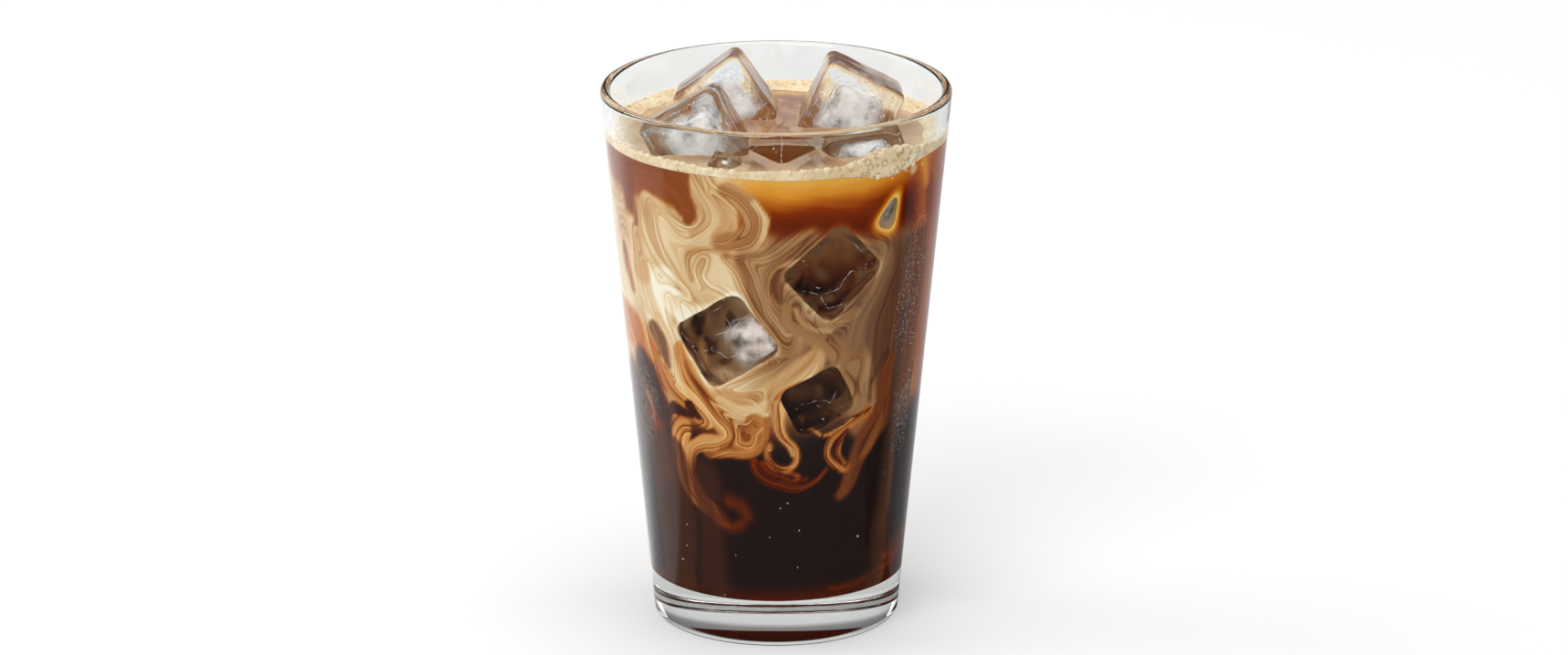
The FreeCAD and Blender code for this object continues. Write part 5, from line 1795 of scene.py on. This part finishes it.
@dataclass
class IceHeart:
    """The cloudy cores, cracks and small air bubbles inside the ice."""

    ice: Ice
    shells: int = 5

    # how large each block's cloud is, where it leans to as shares of the block, and how dense it is
    cloud_leans = {
        "ice_right": (0.80, (0.0, 0.0, 0.0), 1.0),
        "ice_back_left": (0.80, (0.0, 0.0, 0.0), 1.0),
        "ice_front_left": (0.78, (0.0, 0.0, 0.0), 1.0),
        "ice_centre": (0.0, (0.0, 0.0, 0.0), 1.0),
        "ice_front_right": (0.66, (0.0, 0.1, 0.0), 1.0),
        "ice_chip": (0.22, (0.0, 0.0, 0.0), 1.0),
        "sunk_left": (0.72, (0.52, 0.0, -0.36), 0.42),
        "sunk_right": (0.0, (0.0, 0.0, 0.0), 1.0),
        "sunk_middle": (0.0, (0.0, 0.0, 0.0), 1.0),
        "sunk_sliver": (0.66, (0.0, 0.1, -0.15), 0.14),
    }
    # threads of frost in the sunk blocks: places along them, across and up, as shares of the block
    threads = {
        "sunk_left": (((-0.86, 0.80), (-0.80, 0.30), (-0.84, -0.30), (-0.78, -0.85)),
                      ((-0.80, 0.10), (-0.45, -0.02), (-0.15, 0.25), (0.25, 0.10), (0.30, 0.55)),
                      ((-0.45, -0.02), (-0.25, -0.40), (0.25, -0.50), (0.55, -0.84)),
                      ((-0.10, 0.75), (0.35, 0.80))),
        "sunk_right": (((-0.84, 0.30), (-0.62, -0.20), (-0.70, -0.65), (-0.30, -0.84)),
                       ((-0.62, -0.20), (-0.15, -0.45), (0.30, -0.35), (0.55, -0.62)),
                       ((0.84, -0.30), (0.80, 0.30))),
        "sunk_middle": (((-0.55, 0.10), (-0.05, 0.00), (0.35, -0.30), (0.60, -0.05)),),
    }

    def blocks(self) -> list[IceBlock]:
        """Returns the blocks that have a heart."""
        return [block for block in self.ice.proud + self.ice.sunk if block.name in self.cloud_leans]

    def clouds(self, name: str, blocks: list[IceBlock], finish: Finish) -> bpy.types.Object:
        """Returns the cloudy cores of some blocks as one piece.

        Args:
            name: the piece's name.
            blocks: the blocks of ice.
            finish: the clouds' finish.

        Returns:
            The finished piece.
        """
        rows, columns = 26, 40
        tilt = np.linspace(0, math.pi, rows)
        turn = np.linspace(0, math.tau, columns, endpoint=False)
        ball = np.stack(np.broadcast_arrays(
            np.sin(tilt)[:, None] * np.cos(turn), np.sin(tilt)[:, None] * np.sin(turn), np.cos(tilt)[:, None]), -1)
        ball = ball.reshape(-1, 3)
        points, faces, dense = [], [], []
        for block in blocks:
            size, lean, density = self.cloud_leans[block.name]
            if size == 0:
                continue
            ahead = block.axes.T @ np.array([0.0, -0.95, 0.3])
            flat = np.abs(ahead) > np.abs(ahead).max() - 1e-9
            forward = np.where(flat, 0.42 * np.sign(ahead), 0.0) if block in self.ice.proud else np.zeros(3)
            middle = block.middle + block.axes @ ((np.array(lean) + forward) * block.half)
            for layer in range(self.shells):
                share = size * (0.35 + 0.65 * (layer + 1) / self.shells)
                squared = ball / np.abs(ball).max(1)[:, None] ** 0.8
                lumps = 1 + 0.16 * drift(ball, 0.7, block.seed + layer) + 0.12 * drift(ball, 0.25, block.seed - layer)
                local = squared * lumps * share * (block.half - block.rounding * 0.4) * np.where(flat, 0.45, 1.0)
                limit = (block.half * 0.86)
                local = np.clip(local + block.axes.T @ (middle - block.middle), -limit, limit)
                start = sum(len(part) for part in points)
                points.append(local @ block.axes.T + block.middle)
                faces += [tuple(start + corner for corner in quad) for quad in grid_faces(rows, columns, True)]
                dense.append(np.full(len(ball), density * (0.85 - 0.16 * layer)))
        mesh = bpy.data.meshes.new(name)
        mesh.from_pydata([tuple(point) for point in np.vstack(points)], [], faces)
        give_attribute(mesh, "dense", np.concatenate(dense))
        return self.dressed(name, mesh, finish)

    def cracks(self) -> bpy.types.Object:
        """Returns the thin cracks of all blocks, and the painted highlight threads along the edges of the proud blocks,
        as one piece.
        """
        rings, columns = 9, 28
        radius = np.linspace(0, 1, rings) ** 0.8
        turn = np.linspace(0, math.tau, columns, endpoint=False)
        plate = np.stack([radius[:, None] * np.cos(turn), radius[:, None] * np.sin(turn)], -1).reshape(-1, 2)
        points, faces = [], []
        luck = np.random.default_rng(11)
        for block in self.blocks():
            for number in range(4 if block in self.ice.proud and self.cloud_leans[block.name][0] > 0 else 0):
                tip = luck.normal(size=3)
                tip /= np.linalg.norm(tip)
                flank = np.cross(tip, luck.normal(size=3))
                flank /= np.linalg.norm(flank)
                other = np.cross(tip, flank)
                size = block.half.min() * luck.uniform(0.35, 0.62)
                shift = luck.uniform(-0.35, 0.35, 3) * block.half
                ragged = 1 + 0.3 * np.array([noise.noise(Vector((*spot * 1.4, block.seed + number))) for spot in plate])
                flat = plate * ragged[:, None] * size * np.array([1.0, luck.uniform(0.3, 0.7)])
                bend = drift(np.column_stack([flat, np.zeros(len(flat))]), 5 * MM, block.seed + number)[:, 0] * 0.7 * MM
                skin = 0.04 * MM * (1.02 - (plate ** 2).sum(1))
                limit = block.half * 0.84
                for side in (1, -1):
                    local = flat[:, :1] * flank + flat[:, 1:] * other + (bend + side * skin)[:, None] * tip + shift
                    local = np.clip(local, -limit, limit)
                    start = sum(len(part) for part in points)
                    points.append(local @ block.axes.T + block.middle)
                    faces += [tuple(start + corner for corner in (quad if side > 0 else quad[::-1]))
                              for quad in grid_faces(rings, columns, True)]
                upper, lower = start - len(plate), start
                edge = (rings - 1) * columns
                faces += [(upper + edge + c, upper + edge + (c + 1) % columns,
                           lower + edge + (c + 1) % columns, lower + edge + c) for c in range(columns)]
        # painted highlight: bright threads along the edges of the larger proud blocks
        for block in self.ice.proud[:]:
            if block.half.min() > 5 * MM:
                self.edge_highlight_threads(block, points, faces)
        for block in self.ice.sunk:
            for path in self.threads.get(block.name, ()):
                spots = np.array([(one, 0.24, two) for one, two in path]) * block.half
                steps = np.linspace(0, len(path) - 1, 12 * (len(path) - 1))
                spots = np.stack([np.interp(steps, range(len(path)), spots[:, axis]) for axis in range(3)], -1)
                spots += 0.5 * MM * drift(spots, 2.2 * MM, block.seed)
                self.thread(block, spots, 0.10 * MM, points, faces)
        mesh = bpy.data.meshes.new("ice_cracks")
        mesh.from_pydata([tuple(point) for point in np.vstack(points)], [], faces)
        return self.dressed("ice_cracks", mesh, CrackFinish())

    @staticmethod
    def edge_highlight_threads(block: IceBlock, points: list, faces: list) -> None:
        """Adds thin bright threads just under the edges of a block, a painted highlight along them.

        Args:
            block: the block of ice.
            points: the piece's corners so far, a part for each thing in it.
            faces: its faces so far.
        """
        steps, sign = 24, (-1, 1)
        for axis in range(3):
            one, two = (axis + 1) % 3, (axis + 2) % 3
            length = block.half[axis] - block.rounding
            for first, second in ((first, second) for first in sign for second in sign):
                centre = np.zeros((steps, 3))
                centre[:, axis] = np.linspace(-length, length, steps)
                centre[:, one] = first * (block.half[one] - 0.42 * block.rounding - 0.5 * MM)
                centre[:, two] = second * (block.half[two] - 0.42 * block.rounding - 0.5 * MM)
                centre += 0.25 * MM * drift(centre, 4 * MM, block.seed + axis)
                IceHeart.thread(block, centre, 0.13 * MM, points, faces)

    @staticmethod
    def thread(block: IceBlock, centre: np.ndarray, width: float, points: list, faces: list) -> None:
        """Adds one thin round thread along a path in a block's own axes.

        Args:
            block: the block of ice.
            centre: the path's places from the block's middle, in metres.
            width: the thread's radius at its thickest.
            points: the piece's corners so far, a part for each thing in it.
            faces: its faces so far.
        """
        steps, sides = len(centre), 6
        turn = np.linspace(0, math.tau, sides, endpoint=False)
        along = np.gradient(centre, axis=0)
        along /= np.linalg.norm(along, axis=1)[:, None]
        flank = np.cross(along, [0.31, 0.90, 0.29])
        flank /= np.linalg.norm(flank, axis=1)[:, None]
        other = np.cross(along, flank)
        radius = (width * np.sin(np.linspace(0.05, math.pi - 0.05, steps)) ** 0.5)[:, None, None]
        ring = radius * (flank[:, None] * np.cos(turn)[:, None] + other[:, None] * np.sin(turn)[:, None])
        start = sum(len(part) for part in points)
        points.append((centre[:, None] + ring).reshape(-1, 3) @ block.axes.T + block.middle)
        faces += [tuple(start + corner for corner in quad) for quad in grid_faces(steps, sides, True)]
        faces += [tuple(range(start, start + sides))[::-1],
                  tuple(range(start + (steps - 1) * sides, start + steps * sides))]

    @staticmethod
    def dressed(name: str, mesh: bpy.types.Mesh, finish: Finish) -> bpy.types.Object:
        """Closes a mesh, dresses it and returns its piece."""
        shape = bmesh.new()
        shape.from_mesh(mesh)
        bmesh.ops.remove_doubles(shape, verts=shape.verts, dist=1e-7)
        bmesh.ops.recalc_face_normals(shape, faces=shape.faces)
        shape.to_mesh(mesh)
        shape.free()
        mesh.shade_smooth()
        mesh.materials.append(finish.material())
        piece = bpy.data.objects.new(name, mesh)
        bpy.context.scene.collection.objects.link(piece)
        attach(piece, "root")
        return piece

    def specks(self) -> bpy.types.Object:
        """Returns the small air bubbles of all blocks as one piece."""
        points, faces = [], []
        for block in self.blocks():
            for shrink in (0.10, 0.28, 0.5):
                copy = IceBlock(block.name, block.middle, block.axes, block.half * (1 - shrink), block.rounding * 0.8,
                                block.seed, grid=8)
                spots, quads = copy.surface()
                start = sum(len(part) for part in points)
                points.append(spots)
                faces += [tuple(start + corner for corner in quad) for quad in quads]
        sheet = new_piece("ice_specks", np.vstack(points), faces)
        spots = mesh_points(sheet.data)
        crowd = smooth(0.5 + 1.4 * drift(spots, 5 * MM, 81.0)[:, 0])
        for block in self.ice.sunk:
            crowd = crowd * np.where(block.distance(spots) < 1.0 * MM, 0.25, 1.0)
        give_attribute(sheet.data, "crowd", crowd)
        kind = Strewn("ice_specks", "ice", SpeckFinish(), 0.5, 5.0, 0.06, 0.26, 3.5, sink=1.2, seed=5, fineness=2)
        return kind.build(sheet)


# ---------------------------------------------------------------- the studio


@dataclass
class Studio:
    """The floor, the lights, the sky and the camera."""

    floor_radius: float = 6.0
    lens: float = 210.6
    place: tuple[float, float, float] = (0.00197, -2.2, 0.7552)
    pitch: float = 0.30004  # radians below the horizon
    # sine of the elevation, and how bright the sky is there
    seen_through = ((-0.1, 0.85), (0.12, 0.80), (0.34, 0.74), (0.42, 0.30), (0.5, 0.22), (0.8, 0.6), (1.0, 0.9))
    mirrored = ((-0.1, 0.20), (0.2, 0.16), (0.5, 0.22), (0.8, 0.6), (1.0, 0.9))

    def floor(self) -> bpy.types.Object:
        """Returns the pale floor, a wide disc."""
        radii = np.array([0.0, 0.1, 0.3, 0.8, 2.0, self.floor_radius])
        angles = np.arange(0, 360, 5.0)
        points = around(angles[None, :], radii[:, None], 0 * radii[:, None]).reshape(-1, 3)
        piece = new_piece("floor", points, grid_faces(len(radii), len(angles), True), 1e-6)
        if piece.data.polygons[0].normal.z < 0:
            piece.data.flip_normals()
        piece.data.materials.append(FloorFinish().material())
        return piece

    def lamp(self, name: str, azimuth: float, elevation: float, distance: float,
             size: tuple[float, float], power: float, colour: tuple = (1.0, 1.0, 1.0)) -> bpy.types.Object:
        """Adds a soft box that faces the drink.

        Args:
            name: its name.
            azimuth: degrees from the front, counted towards +X.
            elevation: degrees above the table.
            distance: metres from the drink.
            size: its width and height in metres.
            power: in watts.
            colour: its colour.

        Returns:
            The lamp.
        """
        light = bpy.data.lights.new(name, "AREA")
        light.shape = "RECTANGLE"
        light.size, light.size_y = size
        light.energy = power
        light.color = colour
        lamp = bpy.data.objects.new(name, light)
        bpy.context.scene.collection.objects.link(lamp)
        flat = distance * math.cos(math.radians(elevation))
        spot = around(azimuth, flat, distance * math.sin(math.radians(elevation)) + 0.07)
        lamp.location = spot
        lamp.rotation_euler = (Vector((0, 0, 0.07)) - Vector(spot)).to_track_quat("-Z", "Y").to_euler()
        return lamp

    def sky(self) -> None:
        """Sets the plain bright surroundings, a little darker to the sides."""
        world = bpy.data.worlds.new("studio")
        bpy.context.scene.world = world
        world.use_nodes = True
        world.node_tree.nodes.clear()
        w = Wiring(world.node_tree)
        way = w.add("ShaderNodeSeparateXYZ", {0: w.add("ShaderNodeTexCoord").outputs["Generated"]}).outputs
        height = w.math("ADD", w.math("MULTIPLY", way[2], 0.5), 0.5)
        clear = w.ramp(height, [(angle / 2 + 0.5, (level, level, level)) for angle, level in self.seen_through])
        flags = w.ramp(w.math("ABSOLUTE", way[0]), [(0.88, (0.0, 0.0, 0.0)), (0.95, (1.0, 1.0, 1.0))])
        clear = w.blend(flags, clear, (0.06, 0.065, 0.065, 1.0))
        mirror = w.ramp(height, [(angle / 2 + 0.5, (level, level, level)) for angle, level in self.mirrored])
        path = w.add("ShaderNodeLightPath").outputs
        colour = w.blend(path["Is Reflection Ray"], clear, mirror)
        colour = w.blend(path["Is Diffuse Ray"], colour, (0.42, 0.42, 0.42, 1.0))
        colour = w.blend(path["Is Camera Ray"], colour, (0.93, 0.93, 0.93, 1.0))
        w.add("ShaderNodeOutputWorld", {0: w.add("ShaderNodeBackground", {0: colour, 1: 1.0}).outputs[0]})

    def camera(self) -> None:
        """Adds the camera and makes it the scene's own."""
        lens = bpy.data.cameras.new("camera")
        lens.lens = self.lens
        lens.sensor_width = 36.0
        lens.clip_start, lens.clip_end = 0.05, 50.0
        camera = bpy.data.objects.new("camera", lens)
        bpy.context.scene.collection.objects.link(camera)
        camera.location = self.place
        camera.rotation_euler = (math.pi / 2 - self.pitch, 0, 0)
        bpy.context.scene.camera = camera

    def build(self) -> None:
        """Sets up everything round the drink."""
        self.floor()
        self.lamp("left_strip", -100, 22, 1.6, (0.9, 1.8), 9)
        self.lamp("right_strip", 108, 18, 1.8, (0.7, 1.6), 4)
        self.lamp("back_box", 180, 40, 2.2, (2.6, 1.6), 12).visible_transmission = False
        self.lamp("top_box", 20, 78, 2.0, (1.6, 1.6), 14)
        self.lamp("front_box", -25, 40, 2.6, (1.6, 1.0), 24)
        self.sky()
        self.camera()
        view = bpy.context.scene.view_settings
        view.view_transform = "Standard"
        view.look = "None"


# ---------------------------------------------------------------- all together


def report(piece: bpy.types.Object) -> None:
    """Logs a piece's name and its number of faces."""
    LOG.info("%s: %d faces", piece.name, len(piece.data.polygons))


def main() -> None:
    """Builds every piece, in order, and the studio round them."""
    logging.basicConfig(level=logging.INFO, format="%(message)s")
    noise.seed_set(NOISE_SEED)
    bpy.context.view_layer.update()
    form = TumblerForm.measured()
    report(Tumbler(form).build())
    ice = Ice(form)
    ice.place()
    for piece in ice.build():
        report(piece)
    report(Drink(form, ice).build())
    foam = FoamRing(form, ice)
    report(foam.build())
    strewn = [
        (Strewn("foam_pearls", "foam", BubbleFinish(), 0.9, 16, 0.18, 0.85, 2.6, 0.8, 0.15, 3, 2),
         foam.crowd_sheet("foam_pearls", 0.05, 0.95, False)),
        (Strewn("rim_pearls", "foam", BubbleFinish("pearl_skin", tint(226, 202, 160)), 1.6, 70, 0.6, 1.0, 1.2, 0.85,
                0.25, 12, 2),
         foam.crowd_sheet("rim_pearls", -0.1, 0.22, False)),
        (Strewn("wall_bubbles", "foam", BubbleFinish("pressed_bubble", tint(190, 150, 98)), 1.0, 60, 0.3, 0.85, 1.6, 0.35,
                0.0, 15, 2),
         wall_sheet("wall_bubbles", form, False, [(44, 124.2, 15, 1.6, 1.0), (20, 124.4, 12, 0.6, 0.6)])),
        (Strewn("heap_bubbles", "foam", BubbleFinish(), 1.5, 30, 0.6, 1.5, 1.3, 0.85, 0.1, 7, 3),
         foam.crowd_sheet("heap_bubbles", 0.0, 0.95, True)),
        (Strewn("wall_mist", "ice", MistFinish(), 0.24, 1500, 0.08, 0.17, 1.8, 0.6, 0.1, 4, 1),
         wall_sheet("wall_mist", form, True, [(-62, 60, 9, 12, 1.0), (62, 60, 8, 13, 0.9), (60, 92, 8, 20, 0.45)])),
        (Strewn("wall_drops", "ice", WaterFinish(), 1.6, 3, 0.22, 0.75, 2.0, 0.5, 0.1, 8, 3),
         wall_sheet("wall_drops", form, True, [(-58, 56, 9, 26, 0.7), (55, 66, 12, 34, 0.8), (150, 70, 60, 40, 0.3)])),
        # the coffee specks carry a stronger painted glow
        (Strewn("coffee_specks", "coffee", SpeckFinish("coffee_speck", 0.8), 2.0, 2.6, 0.09, 0.19, 1.6, 1.0, 0.0, 6, 2),
         wall_sheet("coffee_specks", form, False, [(0, 24, 70, 14, 0.8), (180, 24, 80, 14, 0.8)])),
    ]
    for kind, surface in strewn:
        report(kind.build(surface))
    heart = IceHeart(ice)
    hearts = (heart.clouds("ice_clouds", ice.proud, CloudFinish()),
              # the sunk haze carries the stronger painted glow
              heart.clouds("sunk_haze", ice.sunk, CloudFinish("soft_haze", 0.5)), heart.cracks(), heart.specks())
    for piece in hearts:
        report(piece)
    Studio().build()


if __name__ == "__main__":
    main()
